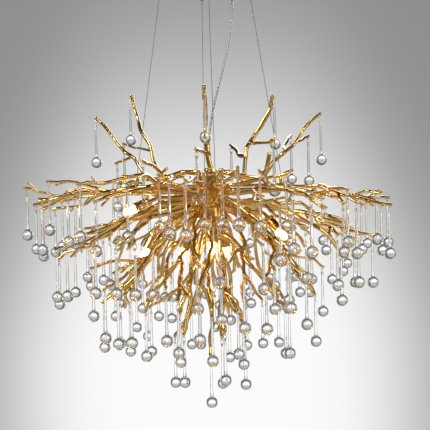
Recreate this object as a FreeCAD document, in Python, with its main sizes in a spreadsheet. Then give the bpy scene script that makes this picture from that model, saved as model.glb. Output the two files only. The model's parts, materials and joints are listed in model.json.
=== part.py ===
"""Branch chandelier with hanging glass drops, in millimetres, Z up.

The origin is the middle of the ceiling plane. The room side that faces the viewer is -Y.
"""
import FreeCAD, Part
import Sketcher
import math
import os
import re

V = FreeCAD.Vector
DOWN = V(0, 0, -1)
UP = V(0, 0, 1)

SIZES = {
    # The crown of branches, and how it was seen: its half width in picture units, the
    # distance it was seen from, and how far the ceiling lies above the viewer's eye level.
    "crown_radius": 400.0,
    "crown_px": 182.0,
    "view_distance": 1800.0,
    "hang_drop": 671.0,
    "axis_px": 205.0,
    "horizon_px": 265.0,
    "lean_share": 0.0245,
    # Mounting bracket, its slots, and the studs that carry the canopy
    "bracket_length": 150.0,
    "bracket_width": 26.0,
    "bracket_thickness": 3.0,
    "slot_spacing": 70.0,
    "slot_length": 18.0,
    "slot_width": 5.5,
    "stud_spacing": 120.0,
    "stud_radius": 2.0,
    "locknut_radius": 4.0,
    "locknut_height": 3.2,
    "cap_nut_radius": 7.0,
    "cap_nut_height": 9.0,
    # Canopy
    "canopy_radius": 130.0,
    "canopy_height": 30.0,
    "canopy_wall": 1.2,
    "canopy_round": 5.0,
    # Terminal block and earth screw under the bracket
    "block_length": 44.0,
    "block_width": 20.0,
    "block_height": 15.0,
    "block_screw_radius": 2.2,
    "block_screw_pitch": 14.0,
    # Power cord and its two glands
    "cord_radius": 2.5,
    "cord_offset": 61.0,
    "gland_radius": 8.0,
    "gland_length": 12.0,
    "gland_thread_radius": 5.5,
    "gland_nut_height": 4.0,
    # Wire grippers and the sprung plungers that free the wires
    "gripper_circle": 96.0,
    "gripper_radius": 6.0,
    "gripper_length": 24.0,
    "gripper_thread_radius": 4.5,
    "gripper_nut_radius": 8.0,
    "gripper_nut_height": 4.0,
    "plunger_radius": 3.7,
    "plunger_lip_radius": 4.8,
    "plunger_lip": 1.5,
    "plunger_inside": 6.0,
    "plunger_travel": 2.5,
    "plunger_room": 2.5,
    "plunger_bore": 2.2,
    # Suspension wires and their anchors on the carrier arms
    "wire_radius": 0.7,
    "wire_turn": 4.2,
    "anchor_circle": 160.0,
    "anchor_radius": 5.0,
    "anchor_height": 14.0,
    "anchor_bore": 1.6,
    "anchor_bore_depth": 4.0,
    "anchor_screw_radius": 2.0,
    "anchor_screw_head": 3.5,
    "anchor_screw_head_height": 2.5,
    "arm_width": 12.0,
    "arm_thickness": 6.0,
    # Hub
    "hub_rise": 193.0,
    "hub_radius": 36.0,
    "hub_bore": 20.0,
    "hub_height": 76.0,
    "hub_floor": 12.0,
    "hub_cover_height": 12.0,
    "hub_spigot_height": 4.0,
    "arm_port": 7.0,
    "upper_port": 18.0,
    "upper_lamp_port": 30.0,
    "middle_port": 42.0,
    "lower_port": 53.0,
    "lower_lamp_port": 65.0,
    "connector_radius": 13.0,
    "connector_height": 20.0,
    "socket_depth": 9.0,
    "rising_circle": 27.0,
    "bottom_circle": 14.0,
    # Rods of the branches
    "trunk_radius": 3.2,
    "twig_radius": 2.6,
    "stub_radius": 2.3,
    "knuckle_radius": 4.2,
    "rod_overhang": 7.0,
    "rod_stub": 13.0,
    "rod_gap": 1.6,
    "stub_length": 26.0,
    # Eyelet under each tip, wire link and glass drop
    "eyelet_radius": 3.4,
    "eyelet_wall": 1.6,
    "eyelet_thickness": 1.8,
    "link_wire": 0.5,
    "link_width": 6.5,
    "link_height": 10.0,
    "link_bend": 1.5,
    "hang_play": 0.3,
    "ball_radius": 12.5,
    "glass_length": 103.0,
    "stem_radius": 2.7,
    "stem_top_radius": 2.1,
    "collar_radius": 3.6,
    "collar_sink": 0.9,
    "nub_radius": 3.2,
    "nub_thickness": 3.6,
    "nub_hole": 1.5,
    "drop_gap": 2.2,
    "swing_angle": 20.0,
    "swing_room": 110.0,
    # Lamps
    "lamp_arm_radius": 4.0,
    "lamp_arm_bend": 20.0,
    "sleeve_radius": 12.5,
    "sleeve_wall": 1.4,
    "sleeve_length": 34.0,
    "holder_radius": 9.5,
    "holder_length": 20.0,
    "holder_recess": 5.0,
    "pin_radius": 0.55,
    "pin_spacing": 9.0,
    "pin_length": 5.0,
    "pin_play": 0.25,
    "bulb_base_radius": 7.6,
    "bulb_base_length": 9.0,
    "bulb_radius": 8.2,
    "bulb_length": 36.0,
    "bulb_travel": 12.0,
    # Fits
    "fit_gap": 0.15,
    "seat_gap": 0.3,
    "overrun": 2.0,
}

doc = FreeCAD.newDocument("chandelier")
sheet = doc.addObject("Spreadsheet::Sheet", "sizes")
for row, (alias, value) in enumerate(SIZES.items(), start=1):
    sheet.set(f"A{row}", alias)
    sheet.set(f"B{row}", str(value))
    sheet.setAlias(f"B{row}", alias)
doc.recompute()


def size(alias):
    """A driving dimension, read from the sheet."""
    return float(sheet.get(alias))


NODES = []


def keep(item, label):
    """Marks an object as a sub-part that is written out under its label."""
    item.Label = label
    NODES.append(item)
    return item


def tied(expression):
    """The expression with each name of a size pointing at the sheet."""
    return re.sub(r"[a-z_][a-z_0-9]*", lambda word: "sizes." + word.group()
                  if word.group() in SIZES else word.group(), expression)


def worth(expression):
    """What an expression of the sheet's names comes to."""
    return float(sheet.evalExpression(tied(expression)))


def bound(kind, name, **expressions):
    """A document object whose properties follow the sheet."""
    item = doc.addObject(kind, name)
    for path, expression in expressions.items():
        item.setExpression(path, tied(expression))
    return item


def cylinder(name, radius, height, across, away, level):
    """An upright cylinder whose sizes and place are expressions."""
    item = bound("Part::Cylinder", name, Radius=radius, Height=height)
    for axis, expression in zip("xyz", (across, away, level)):
        item.setExpression(f"Placement.Base.{axis}", tied(expression))
    return item


def turned(name, steps, bores, across="0", away="0"):
    """A turned piece: stacked steps less its bores, each a radius, a height and a level."""
    stack = [cylinder(f"{name}_step", radius, height, across, away, level)
             for radius, height, level in steps]
    whole = stack[0]
    if len(stack) > 1:
        whole = doc.addObject("Part::MultiFuse", name + "_steps")
        whole.Shapes = stack
    if not bores:
        return whole
    return cut(name, whole, [cylinder(f"{name}_bore", radius, height, across, away, level)
                             for radius, height, level in bores])


def around(circle, quarter):
    """The expressions of a quarter's place on a circle."""
    angle = f"(wire_turn + {90 * quarter})"
    return f"{circle} * cos{angle}", f"{circle} * sin{angle}"


def arm_bar(name, quarter, width, thickness):
    """A level bar from its slot in the hub to past its wire's anchor."""
    bar = bound("Part::Box", name, Width=width, Height=thickness,
                Length="anchor_circle + anchor_radius + socket_depth - hub_radius")
    angle = f"(wire_turn + {90 * quarter})"
    start = "(hub_radius - socket_depth)"
    bar.setExpression("Placement.Base.x",
                      tied(f"{start} * cos{angle} + ({width}) / 2 * sin{angle}"))
    bar.setExpression("Placement.Base.y",
                      tied(f"{start} * sin{angle} - ({width}) / 2 * cos{angle}"))
    bar.setExpression("Placement.Base.z",
                      tied(f"{ARM_TOP_LEVEL} - arm_thickness / 2 - ({thickness}) / 2"))
    bar.Placement.Rotation = FreeCAD.Rotation(UP, QUARTERS[quarter])
    return bar


def solid_of(name, shape, place=None):
    """A feature whose shape is made by Part's functions."""
    item = doc.addObject("Part::Feature", name)
    item.Shape = shape
    item.Placement = place or FreeCAD.Placement()
    return item


def cut(name, base, tools):
    """The base without the tools."""
    item = doc.addObject("Part::Cut", name)
    item.Base = base
    item.Tool = tools[0]
    if len(tools) > 1:
        item.Tool = doc.addObject("Part::MultiFuse", name + "_cuts")
        item.Tool.Shapes = tools
    return item


def group(name, pieces):
    """Several separate solids kept as one sub-part."""
    item = doc.addObject("Part::Compound", name)
    item.Links = pieces
    return item


def plane_of(body, role):
    """One of a body's own origin planes or axes."""
    return next(f for f in body.Origin.OriginFeatures if f.Role == role)


def sketch_on(body, name, role):
    """A sketch on one of the body's origin planes."""
    sketch = body.newObject("Sketcher::SketchObject", name)
    sketch.AttachmentSupport = (plane_of(body, role), [""])
    sketch.MapMode = "FlatFace"
    return sketch


def pin_point(sketch, curve, point, across, along):
    """Holds a point of a sketch at two expressions from the sketch's origin."""
    for axis, expression in (("DistanceX", across), ("DistanceY", along)):
        index = sketch.addConstraint(
            Sketcher.Constraint(axis, -1, 1, curve, point, worth(expression)))
        sketch.setExpression(f"Constraints[{index}]", tied(expression))


def outline(sketch, corners):
    """A closed outline of straight edges through corners given as expressions."""
    places = [V(worth(across), worth(along), 0) for across, along in corners]
    edges = []
    for start, end in zip(places, places[1:] + places[:1]):
        edges.append(sketch.addGeometry(Part.LineSegment(start, end)))
    for edge, following in zip(edges, edges[1:] + edges[:1]):
        sketch.addConstraint(Sketcher.Constraint("Coincident", edge, 2, following, 1))
    for edge, corner in zip(edges, corners):
        pin_point(sketch, edge, 1, *corner)


def ring(sketch, across, along, radius):
    """A circle whose centre and radius are expressions."""
    centre = V(worth(across), worth(along), 0)
    curve = sketch.addGeometry(Part.Circle(centre, UP, worth(radius)))
    index = sketch.addConstraint(Sketcher.Constraint("Radius", curve, worth(radius)))
    sketch.setExpression(f"Constraints[{index}]", tied(radius))
    pin_point(sketch, curve, 3, across, along)


def pocket(body, name, sketch, length, reverse=False):
    """A pocket through the body from its sketch, checked to have cut something."""
    doc.recompute()
    before = body.Shape.Volume
    feature = body.newObject("PartDesign::Pocket", name)
    feature.Profile = sketch
    feature.setExpression("Length", tied(length))
    feature.Midplane = True
    feature.Reversed = reverse
    doc.recompute()
    assert body.Shape.Volume < before, name + " cut nothing"
    return feature


def polar(radius, degrees, height=0.0):
    """The point at a radius and an azimuth, at a height."""
    turn = math.radians(degrees)
    return V(radius * math.cos(turn), radius * math.sin(turn), height)


def facing(direction):
    """The rotation that turns +Z to a direction."""
    return FreeCAD.Rotation(UP, direction)


def rounded_path(points, bend=0.0):
    """Straight edges joined by tangent arcs, and the arcs' radii.

    An arc takes up to RUN_SHARE of its shorter run, and no more than the bend asks for.
    """
    edges = []
    radii = []
    start = points[0]
    for before, corner, after in zip(points, points[1:], points[2:]):
        back = before - corner
        ahead = after - corner
        half = (math.pi - back.getAngle(ahead)) / 2
        reach = RUN_SHARE * min(back.Length, ahead.Length)
        if bend:
            reach = min(reach, bend * math.tan(half))
        radius = reach / math.tan(half)
        radii.append(radius)
        back.normalize()
        ahead.normalize()
        inward = (back + ahead).normalize()
        middle = corner + inward * (radius / math.cos(half) - radius)
        edges.append(Part.LineSegment(start, corner + back * reach).toShape())
        edges.append(Part.Arc(corner + back * reach, middle, corner + ahead * reach).toShape())
        start = corner + ahead * reach
    edges.append(Part.LineSegment(start, points[-1]).toShape())
    return Part.Wire(edges), radii


def rod(points, radius, bend):
    """A round rod along a path with rounded bends and flat ends."""
    if len(points) == 2:
        run = points[1] - points[0]
        return Part.makeCylinder(radius, run.Length, points[0], run)
    wire, _ = rounded_path(points, bend)
    profile = Part.Wire(Part.Circle(points[0], points[1] - points[0], radius).toShape())
    return wire.makePipeShell([profile], True, False)


# Levels, as expressions and as lengths
HUB_TOP_LEVEL = "hub_rise - hang_drop"
HUB_SEAT_LEVEL = f"{HUB_TOP_LEVEL} - hub_cover_height"
HUB_BOTTOM_LEVEL = f"{HUB_SEAT_LEVEL} - hub_height"
ARM_TOP_LEVEL = f"{HUB_SEAT_LEVEL} - arm_port + arm_thickness / 2"
FLOOR_LEVEL = "-canopy_height"
GRIPPER_END_LEVEL = f"{FLOOR_LEVEL} - gripper_length"
HUB_TOP = worth(HUB_TOP_LEVEL)
HUB_SEAT = worth(HUB_SEAT_LEVEL)
HUB_BOTTOM = worth(HUB_BOTTOM_LEVEL)
ARM_TOP = worth(ARM_TOP_LEVEL)
GRIPPER_END = worth(GRIPPER_END_LEVEL)
GLASS_HANG = "glass_length - nub_radius - ball_radius"

RUN_SHARE = 0.45
CROWN = size("crown_radius")
PICTURE = CROWN / size("crown_px")
HUB = size("hub_radius")
SOCKET = size("socket_depth")
TRUNK = size("trunk_radius")
TWIG = size("twig_radius")
QUARTERS = [size("wire_turn") + 90.0 * quarter for quarter in range(4)]

# How far each piece of a hanging drop lies below the middle of its rod's tip
EYELET_HOLE = size("eyelet_radius") - size("eyelet_wall")
EYELET_FALL = TWIG + EYELET_HOLE + size("hang_play")
LUG_SINK = EYELET_FALL - EYELET_HOLE - size("eyelet_wall") / 2
LINK_TOP_FALL = EYELET_FALL + EYELET_HOLE - size("link_wire") - size("hang_play")
PIVOT_FALL = LINK_TOP_FALL + size("link_height")
HOLE_FALL = PIVOT_FALL + size("nub_hole") - size("link_wire") - size("hang_play")
BALL_FALL = HOLE_FALL + worth(GLASS_HANG)


def seen(across_px, down_px, depth_share):
    """The place of a picture point at a depth, as a share of the crown's radius."""
    depth = depth_share * CROWN
    spread = PICTURE * (1 + depth / size("view_distance"))
    lean = size("lean_share")
    across = across_px - size("axis_px") - lean * down_px
    down = down_px + lean * (across_px - size("axis_px")) - size("horizon_px")
    return V(across * spread, depth, -size("hang_drop") - down * spread)


# Where the glass balls hang: across and down in picture units, and the depth share
UPPER_BALLS_PX = (
    (28, 235, 0.02), (37, 249, 0.25), (43, 250, -0.2), (44, 256, 0.12), (50, 230, -0.12),
    (56, 252, 0.4), (63, 246, 0.22), (69, 242, -0.35), (76, 244, 0.1), (81, 237, -0.5),
    (97, 251, -0.25), (114, 225, 0.45), (122, 225, 0.65), (119, 241, 0.25), (128, 237, -0.6),
    (160, 227, -0.5), (170, 234, -0.72), (186, 236, -0.8), (205, 225, -0.45),
    (223, 225, -0.6), (239, 225, -0.8), (261, 227, -0.72), (287, 226, -0.45),
    (323, 240, 0.5), (326, 250, 0.35), (344, 252, -0.3), (348, 242, -0.5), (357, 253, -0.4),
    (362, 249, 0.2), (367, 243, 0.45), (377, 239, -0.1), (382, 250, 0.15), (388, 242, 0.25),
    (390, 253, -0.15), (312, 252, -0.6), (294, 249, -0.75), (150, 240, 0.75),
    (185, 243, 0.85), (215, 240, 0.7), (250, 243, 0.8), (290, 242, 0.65),
)
MIDDLE_BALLS_PX = (
    (58, 297, -0.1), (60, 304, 0.15), (68, 296, -0.25), (76, 292, 0.3), (88, 277, 0.4),
    (91, 286, 0.55), (96, 293, -0.45), (104, 280, 0.2), (111, 285, -0.15), (117, 294, -0.5),
    (120, 303, 0.45), (131, 285, 0.6), (136, 295, -0.55), (143, 308, 0.3), (143, 284, 0.75),
    (154, 295, -0.3), (165, 297, 0.5), (173, 297, 0.7), (182, 290, 0.25), (198, 309, -0.45),
    (206, 294, 0.55), (206, 277, 0.8), (220, 283, -0.6), (220, 305, 0.35), (250, 292, 0.65),
    (251, 303, 0.4), (264, 289, -0.5), (269, 277, 0.7), (270, 295, 0.8), (275, 285, 0.3),
    (275, 309, -0.3), (280, 305, 0.5), (290, 278, 0.6), (296, 276, 0.45), (307, 278, -0.4),
    (312, 279, 0.25), (300, 292, 0.5), (310, 292, 0.35), (289, 300, -0.15), (288, 308, 0.15),
    (291, 308, -0.45), (281, 260, -0.75), (343, 271, 0.45), (347, 263, 0.5), (332, 279, 0.4),
    (338, 285, -0.4), (342, 300, -0.1), (355, 282, 0.2), (359, 282, -0.25), (373, 282, 0.0),
)
LOWER_BALLS_PX = (
    (94, 316, -0.1), (106, 338, -0.2), (105, 347, 0.1), (116, 316, 0.3), (119, 344, -0.35),
    (121, 343, 0.3), (132, 343, -0.45), (131, 351, 0.15), (137, 327, 0.5), (148, 336, 0.55),
    (159, 316, 0.4), (172, 318, 0.55), (167, 341, -0.45), (192, 344, 0.4), (200, 340, -0.5),
    (201, 344, 0.2), (222, 320, -0.55), (215, 327, 0.6), (231, 320, 0.35), (245, 328, -0.5),
    (247, 345, 0.3), (267, 329, -0.4), (263, 343, 0.35), (279, 342, 0.25), (307, 324, -0.3),
    (316, 341, 0.0), (323, 311, 0.2),
)
BOTTOM_BALLS_PX = (
    (147, 356, -0.2), (152, 351, 0.2), (179, 353, -0.35), (181, 362, -0.12), (176, 382, 0.1),
    (185, 382, -0.1), (213, 361, -0.3), (212, 402, 0.0), (226, 380, -0.1), (223, 383, 0.15),
    (230, 357, 0.35), (239, 354, -0.25), (244, 364, -0.05), (246, 384, 0.05), (286, 353, 0.15),
    (290, 353, -0.15),
)

# Rising branches: each strand's route, and whether a drop hangs from its end. The first
# strand of a branch comes from the hub; the others start on a strand before them.
RISING_ROUTES_PX = (
    (
        (((146, 176, 0.1), (133, 157, 0.17), (124, 151, 0.2), (115, 136, 0.25),
          (97, 118.6, 0.27)), True),
        (((130, 155.6, 0.178), (124, 160, 0.26), (117, 162.7, 0.3)), True),
    ),
    (
        (((168, 178, 0.12), (149.4, 150, 0.2), (140, 123.5, 0.27), (134.4, 107, 0.3),
          (132, 97.4, 0.3)), True),
        (((149.6, 150.3, 0.2), (139.4, 149.7, 0.3), (124.5, 144, 0.36)), True),
        (((164, 172, 0.14), (143, 160.8, -0.1)), True),
    ),
    (
        (((212, 172, -0.06), (207, 144, -0.06), (204.5, 117, -0.12), (204, 88.6, -0.22)),
         True),
        (((209, 155, -0.06), (203, 152, -0.16), (196.4, 149.3, -0.26)), True),
    ),
    (
        (((247, 174, 0.0), (245.5, 158, 0.0), (246, 149.3, 0.0), (252.7, 140.4, 0.0),
          (263.4, 126, 0.0), (270.5, 108, 0.0), (272, 98.4, 0.0)), True),
        (((251.8, 141.6, 0.0), (262, 141, -0.2), (273.5, 139.5, -0.34)), True),
        (((245.5, 158, 0.0), (239, 153, 0.14), (231.3, 145.7, 0.25)), True),
    ),
    (
        (((262, 182, -0.1), (266, 168, -0.12), (270.5, 153, -0.15)), False),
    ),
    (
        (((260, 180, 0.14), (274.7, 159.5, 0.15), (290.5, 147, 0.15), (301.5, 128, 0.15),
          (319, 114.3, 0.15)), True),
        (((293, 142.6, 0.15), (307.4, 136, 0.25)), True),
        (((281, 154.5, 0.15), (285, 143, 0.32), (290.5, 136, 0.44)), True),
    ),
)
# Lamps: azimuth and tilt in degrees, then reach and fall of the sleeve's mouth as shares
LAMP_SHARES = (
    (185.0, 22.0, 0.41, 0.16), (50.0, 22.0, 0.425, 0.175), (100.0, 20.0, 0.41, 0.17),
    (140.0, 22.0, 0.42, 0.155), (350.0, 50.0, 0.37, 0.3), (170.0, 60.0, 0.36, 0.38),
    (75.0, 60.0, 0.31, 0.37), (120.0, 60.0, 0.31, 0.37), (270.0, 90.0, 0.07, 0.36),
)
UPPER_LAMPS = 4
TIPS_PER_BRANCH = 4
SWINGING = 14

# How the rods bend on their way: kinks along a run, and how far each strays to the side
# and upwards, as shares of the run. The first way that is clear of everything is taken.
DEPTH_STEP_SHARES = (0.0, 0.04, -0.04, 0.08, -0.08, 0.12, -0.12, 0.18, -0.18)
BULGE_SHARES = (0.07, -0.07, 0.12, -0.12, 0.0, 0.18, -0.18)
LIFT_SHARES = (0.05, -0.04, 0.11, -0.1, 0.18)
KINK_SHARES = (0.26, 0.52, 0.78)
TWIG_KINK_SHARES = (0.55,)
BULGE_SWAY_SHARES = (1.0, -0.8, 0.6)
LIFT_SWAY_SHARES = (0.7, 1.1, 0.5)
LEAST_GAP_SHARE = 0.3
STEEP_ANGLE = 40.0

# Where twigs leave a strand, and the bare stubs beside the ends of the first strands
FORK_SHARES = (0.1, 0.3, 0.5, 0.7, 0.9)
FORK_ANGLE = 36.0
LEAST_FORK_ANGLE = 16.0
FORK_TRIES = 6
STUBBED = 4
STUB_RUNS = 2
STUB_REACH_SHARES = (1.0, 1.35)
STUB_KNUCKLE_SHARE = 0.75
STUB_SHARE = 0.3
STUB_ANGLES = (38.0, -38.0, 55.0, -55.0)
GROWTH_SHARES = (0.0, 0.03, 0.06, -0.03, 0.1, -0.06, 0.2, -0.15, 0.3)
KNOB_SHARE = 1.2
KNOB_TURN = 71.0
SWING_SHARES = (-1.0, -0.5, 0.5, 1.0)


class Obstacles:
    """Round-ended bars that rods and drops keep clear of."""

    def __init__(self):
        self.bars = []

    def add(self, points, radius, owner=None):
        """Adds one bar along each run of a path."""
        for start, end in zip(points, points[1:]):
            low = [min(a, b) - radius for a, b in zip(start, end)]
            high = [max(a, b) + radius for a, b in zip(start, end)]
            self.bars.append((start, end, radius, owner, low, high))

    def gap(self, points, radius, wanted, owners=()):
        """The least gap from a path to the bars, or the wanted gap if none is nearer."""
        least = wanted
        margin = radius + wanted
        low = [min(point[axis] for point in points) - margin for axis in range(3)]
        high = [max(point[axis] for point in points) + margin for axis in range(3)]
        for start, end, thickness, owner, bar_low, bar_high in self.bars:
            if bar_low[0] > high[0] or bar_high[0] < low[0]:
                continue
            if bar_low[1] > high[1] or bar_high[1] < low[1]:
                continue
            if bar_low[2] > high[2] or bar_high[2] < low[2] or owner in owners:
                continue
            for first, last in zip(points, points[1:]):
                apart = distance_between(first, last, start, end) - radius - thickness
                least = min(least, apart)
        return least


def distance_between(first, last, start, end):
    """The least distance between two straight stretches."""
    run = last - first
    other = end - start
    between = first - start
    run_square = run.dot(run)
    other_square = other.dot(other)
    mixed = run.dot(other)
    lead = run.dot(between)
    follow = other.dot(between)
    room = run_square * other_square - mixed * mixed
    share = 0.0
    if room > 0:
        share = min(1.0, max(0.0, (mixed * follow - lead * other_square) / room))
    reach = (mixed * share + follow) / other_square if other_square else 0.0
    if not 0.0 <= reach <= 1.0:
        reach = min(1.0, max(0.0, reach))
        share = min(1.0, max(0.0, (mixed * reach - lead) / run_square))
    return (first + run * share - start - other * reach).Length


class Lamp:
    """Where one lamp's sleeve, holder and bulb lie."""

    def __init__(self, azimuth, tilt, reach_share, fall_share, port):
        self.azimuth = azimuth
        upright = math.cos(math.radians(tilt))
        self.direction = polar(upright, azimuth, -math.sin(math.radians(tilt)))
        self.mouth = polar(reach_share * CROWN, azimuth, HUB_TOP - fall_share * CROWN)
        self.back = self.mouth - self.direction * size("sleeve_length")
        if tilt == 90.0:
            self.root = V(self.back.x, self.back.y, HUB_BOTTOM + SOCKET)
            self.path = [self.root, self.back]
            self.outward = DOWN
            return
        height = HUB_SEAT - port
        self.outward = polar(1.0, azimuth)
        self.root = polar(HUB - SOCKET, azimuth, height)
        elbow = polar(HUB + size("rod_stub"), azimuth, height)
        turn_in = self.back - self.direction * size("lamp_arm_bend")
        self.path = [self.root, elbow, turn_in, self.back]

    def turned(self):
        """The placement that takes the lamp's own frame to its sleeve's back."""
        return FreeCAD.Placement(self.back, facing(self.direction))


class Drop:
    """One hanging drop: where its ball is, and where its rod's tip must be."""

    def __init__(self, ball, tier):
        self.ball = ball
        self.tier = tier
        self.tip = ball + UP * BALL_FALL
        self.yaw = None

    def slid(self, offset):
        """Moves the drop along the line of sight by an offset in depth."""
        eye = V(0, -size("view_distance"), -size("hang_drop"))
        sight = self.ball - eye
        return Drop(self.ball + sight * (offset / sight.y), self.tier)

    def bars(self):
        """The paths and radii of the ball and of the stem with its link."""
        top = self.tip - UP * EYELET_FALL
        return (([self.ball, self.ball + UP * size("stem_radius")], size("ball_radius")),
                ([self.ball, top], size("link_width") / 2 + size("link_wire")))

    def place(self):
        """The placement of the glass, whose own origin is the middle of its hole."""
        rotation = FreeCAD.Rotation(UP, self.yaw)
        return FreeCAD.Placement(self.tip - UP * HOLE_FALL, rotation)


class Strand:
    """One round rod of a branch."""

    def __init__(self, points, radius, drop=None):
        self.points = points
        self.radius = radius
        self.drop = drop

    def heading(self):
        """The level direction of the strand's last run, in degrees."""
        run = self.points[-1] - self.points[-2]
        return math.degrees(math.atan2(run.y, run.x))


lamps = []
for number, row in enumerate(LAMP_SHARES):
    port_name = "upper_lamp_port" if number < UPPER_LAMPS else "lower_lamp_port"
    lamps.append(Lamp(*row, size(port_name)))

# The power cord's free run, from the canopy's gland to the hub's gland
CORD_ROUTE = [
    V(61, 0, -42), V(60.5, -1, -86), V(57, -3, -136), V(50, -4, -186), V(38, -3, -236),
    V(23, 0, -286), V(10, 2, -336), V(2, 1, -386), V(-0.5, 0, -430), V(0, 0, -466),
]

obstacles = Obstacles()
obstacles.add([V(0, 0, HUB_TOP - HUB), V(0, 0, HUB_BOTTOM + HUB)], HUB)
obstacles.add(CORD_ROUTE, size("cord_radius"))
for quarter in QUARTERS:
    anchor = polar(size("anchor_circle"), quarter, ARM_TOP + size("anchor_height"))
    gripper = polar(size("gripper_circle"), quarter, GRIPPER_END)
    obstacles.add([gripper, anchor], size("wire_radius"))
    obstacles.add([anchor, polar(size("anchor_circle"), quarter, ARM_TOP)],
                  size("anchor_radius"))
    level = ARM_TOP - size("arm_thickness") / 2
    obstacles.add([polar(HUB, quarter, level), polar(size("anchor_circle"), quarter, level)],
                  size("arm_width") / 2)
for lamp in lamps:
    obstacles.add(lamp.path, size("lamp_arm_radius"))
    far = lamp.mouth + lamp.direction * (size("bulb_length") + size("bulb_travel"))
    obstacles.add([lamp.back, far], size("sleeve_radius"))


def hang(ball, tier):
    """A drop at the place nearest to the one wanted that is clear of all others."""
    for step_share in DEPTH_STEP_SHARES:
        drop = Drop(ball, tier).slid(step_share * CROWN)
        if all(obstacles.gap(path, radius, size("drop_gap")) >= size("drop_gap")
               for path, radius in drop.bars()):
            for path, radius in drop.bars():
                obstacles.add(path, radius, drop)
            return drop
    return None


def hang_all(rows, tier):
    """The drops of one tier that find a clear place."""
    found = [hang(seen(*row), tier) for row in rows]
    return [drop for drop in found if drop]


def overhung(points):
    """The path carried straight on past its last point to the rod's cut end.

    A rod that comes down steeply ends in its lug instead.
    """
    run = (points[-1] - points[-2]).normalize()
    steep = run.z < -math.sin(math.radians(STEEP_ANGLE))
    return points[:-1] + [points[-1] + run * (LUG_SINK if steep else size("rod_overhang"))]


def lug_offset(run):
    """From a rising rod's tip to the point that its drop hangs under, on its outer side."""
    level = V(run.x, run.y, 0)
    outward = V(level).normalize() * (run.z / run.Length)
    return (outward + UP * (1 - level.Length / run.Length)) * EYELET_FALL


def bent(start, end, kinks, bulge_share, lift_share):
    """A path from start to end whose kinks lie to alternate sides of the straight line."""
    line = end - start
    side = line.cross(UP)
    if side.Length < size("rod_gap"):
        side = V(1, 0, 0)
    side.normalize()
    points = []
    for count, kink in enumerate(kinks):
        across = bulge_share * line.Length * BULGE_SWAY_SHARES[count]
        rise = lift_share * line.Length * LIFT_SWAY_SHARES[count]
        points.append(start + line * kink + side * across + UP * rise)
    return points


def best_route(lead, end, kinks, radius, drop, first_side):
    """The first bent route that is clear, or the one with the widest gap."""
    best = None
    widest = -CROWN
    for lift_share in LIFT_SHARES:
        for bulge_share in BULGE_SHARES:
            kinked = bent(lead[-1], end, kinks, first_side * bulge_share, lift_share)
            path = overhung(lead + kinked + [end])
            free = path[len(lead) - 1:]
            gap = obstacles.gap(free, radius, size("rod_gap"), (drop,))
            if gap >= size("rod_gap"):
                return path, gap
            if gap > widest:
                best, widest = path, gap
    return best, widest


def fork_places(strands, tip):
    """Points on the strands where a twig to the tip could leave, the best first."""
    choices = []
    for strand in strands:
        for start, end in zip(strand.points[1:], strand.points[2:]):
            run = end - start
            for share in FORK_SHARES:
                place = start + run * share
                angle = math.degrees(run.getAngle(tip - place))
                length = (tip - place).Length
                if length > size("stub_length"):
                    misfit = max(0.0, angle - FORK_ANGLE, LEAST_FORK_ANGLE - angle)
                    choices.append((misfit * CROWN + length, place))
    choices.sort(key=lambda choice: choice[0])
    return [place for _, place in choices[:FORK_TRIES]]


def grow(root, stub, drops, first_side):
    """The strands of one branch, from its root in the hub to its drops' tips."""
    by_reach = sorted(drops, key=lambda drop: -(drop.tip - root).Length)
    strands = []
    left = []
    for drop in by_reach:
        if not strands:
            path, gap = best_route([root, stub], drop.tip, KINK_SHARES, TRUNK, drop, first_side)
            radius = TRUNK
        else:
            radius = TWIG
            path, gap = None, -CROWN
            for place in fork_places(strands, drop.tip):
                found, room = best_route([place], drop.tip, TWIG_KINK_SHARES, TWIG, drop,
                                         -first_side)
                if room > gap:
                    path, gap = found, room
                if gap >= size("rod_gap"):
                    break
        if path is None or gap < LEAST_GAP_SHARE * size("rod_gap"):
            left.append(drop)
            continue
        strands.append(Strand(path, radius, drop))
        drop.yaw = strands[-1].heading() + 90.0
    for number, strand in enumerate(strands[:STUBBED]):
        runs = list(zip(strand.points[1:], strand.points[2:]))[-STUB_RUNS:]
        for count, (start, end) in enumerate(runs):
            reach = size("stub_length") * STUB_REACH_SHARES[(number + count) % STUB_RUNS]
            stub_points = bare_stub(strand, start, end, reach, first_side)
            if stub_points:
                strands.append(Strand(stub_points, size("stub_radius")))
                obstacles.add(stub_points, size("stub_radius"), strands[0])
    for strand in strands:
        obstacles.add(strand.points, strand.radius, strands[0])
    return strands, left


def bare_stub(strand, start, end, reach, first_side):
    """A short bare twig, cut flat, that leaves one run of a strand where there is room."""
    kink = start + (end - start) * STUB_SHARE
    run = (end - kink).normalize()
    for angle in STUB_ANGLES:
        turned = FreeCAD.Rotation(UP, first_side * angle).multVec(run)
        rise = UP * math.sin(math.radians(angle * first_side)) * RUN_SHARE
        tip = kink + (turned + rise).normalize() * reach
        free = kink + (tip - kink) * RUN_SHARE
        if obstacles.gap([free, tip], TWIG, size("rod_gap"), (strand.drop,)) >= size("rod_gap"):
            return [kink, tip]
    return None


def azimuth_of(place):
    """The azimuth of a place, from 0 to 360 degrees."""
    return math.degrees(math.atan2(place.y, place.x)) % 360.0


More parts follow.
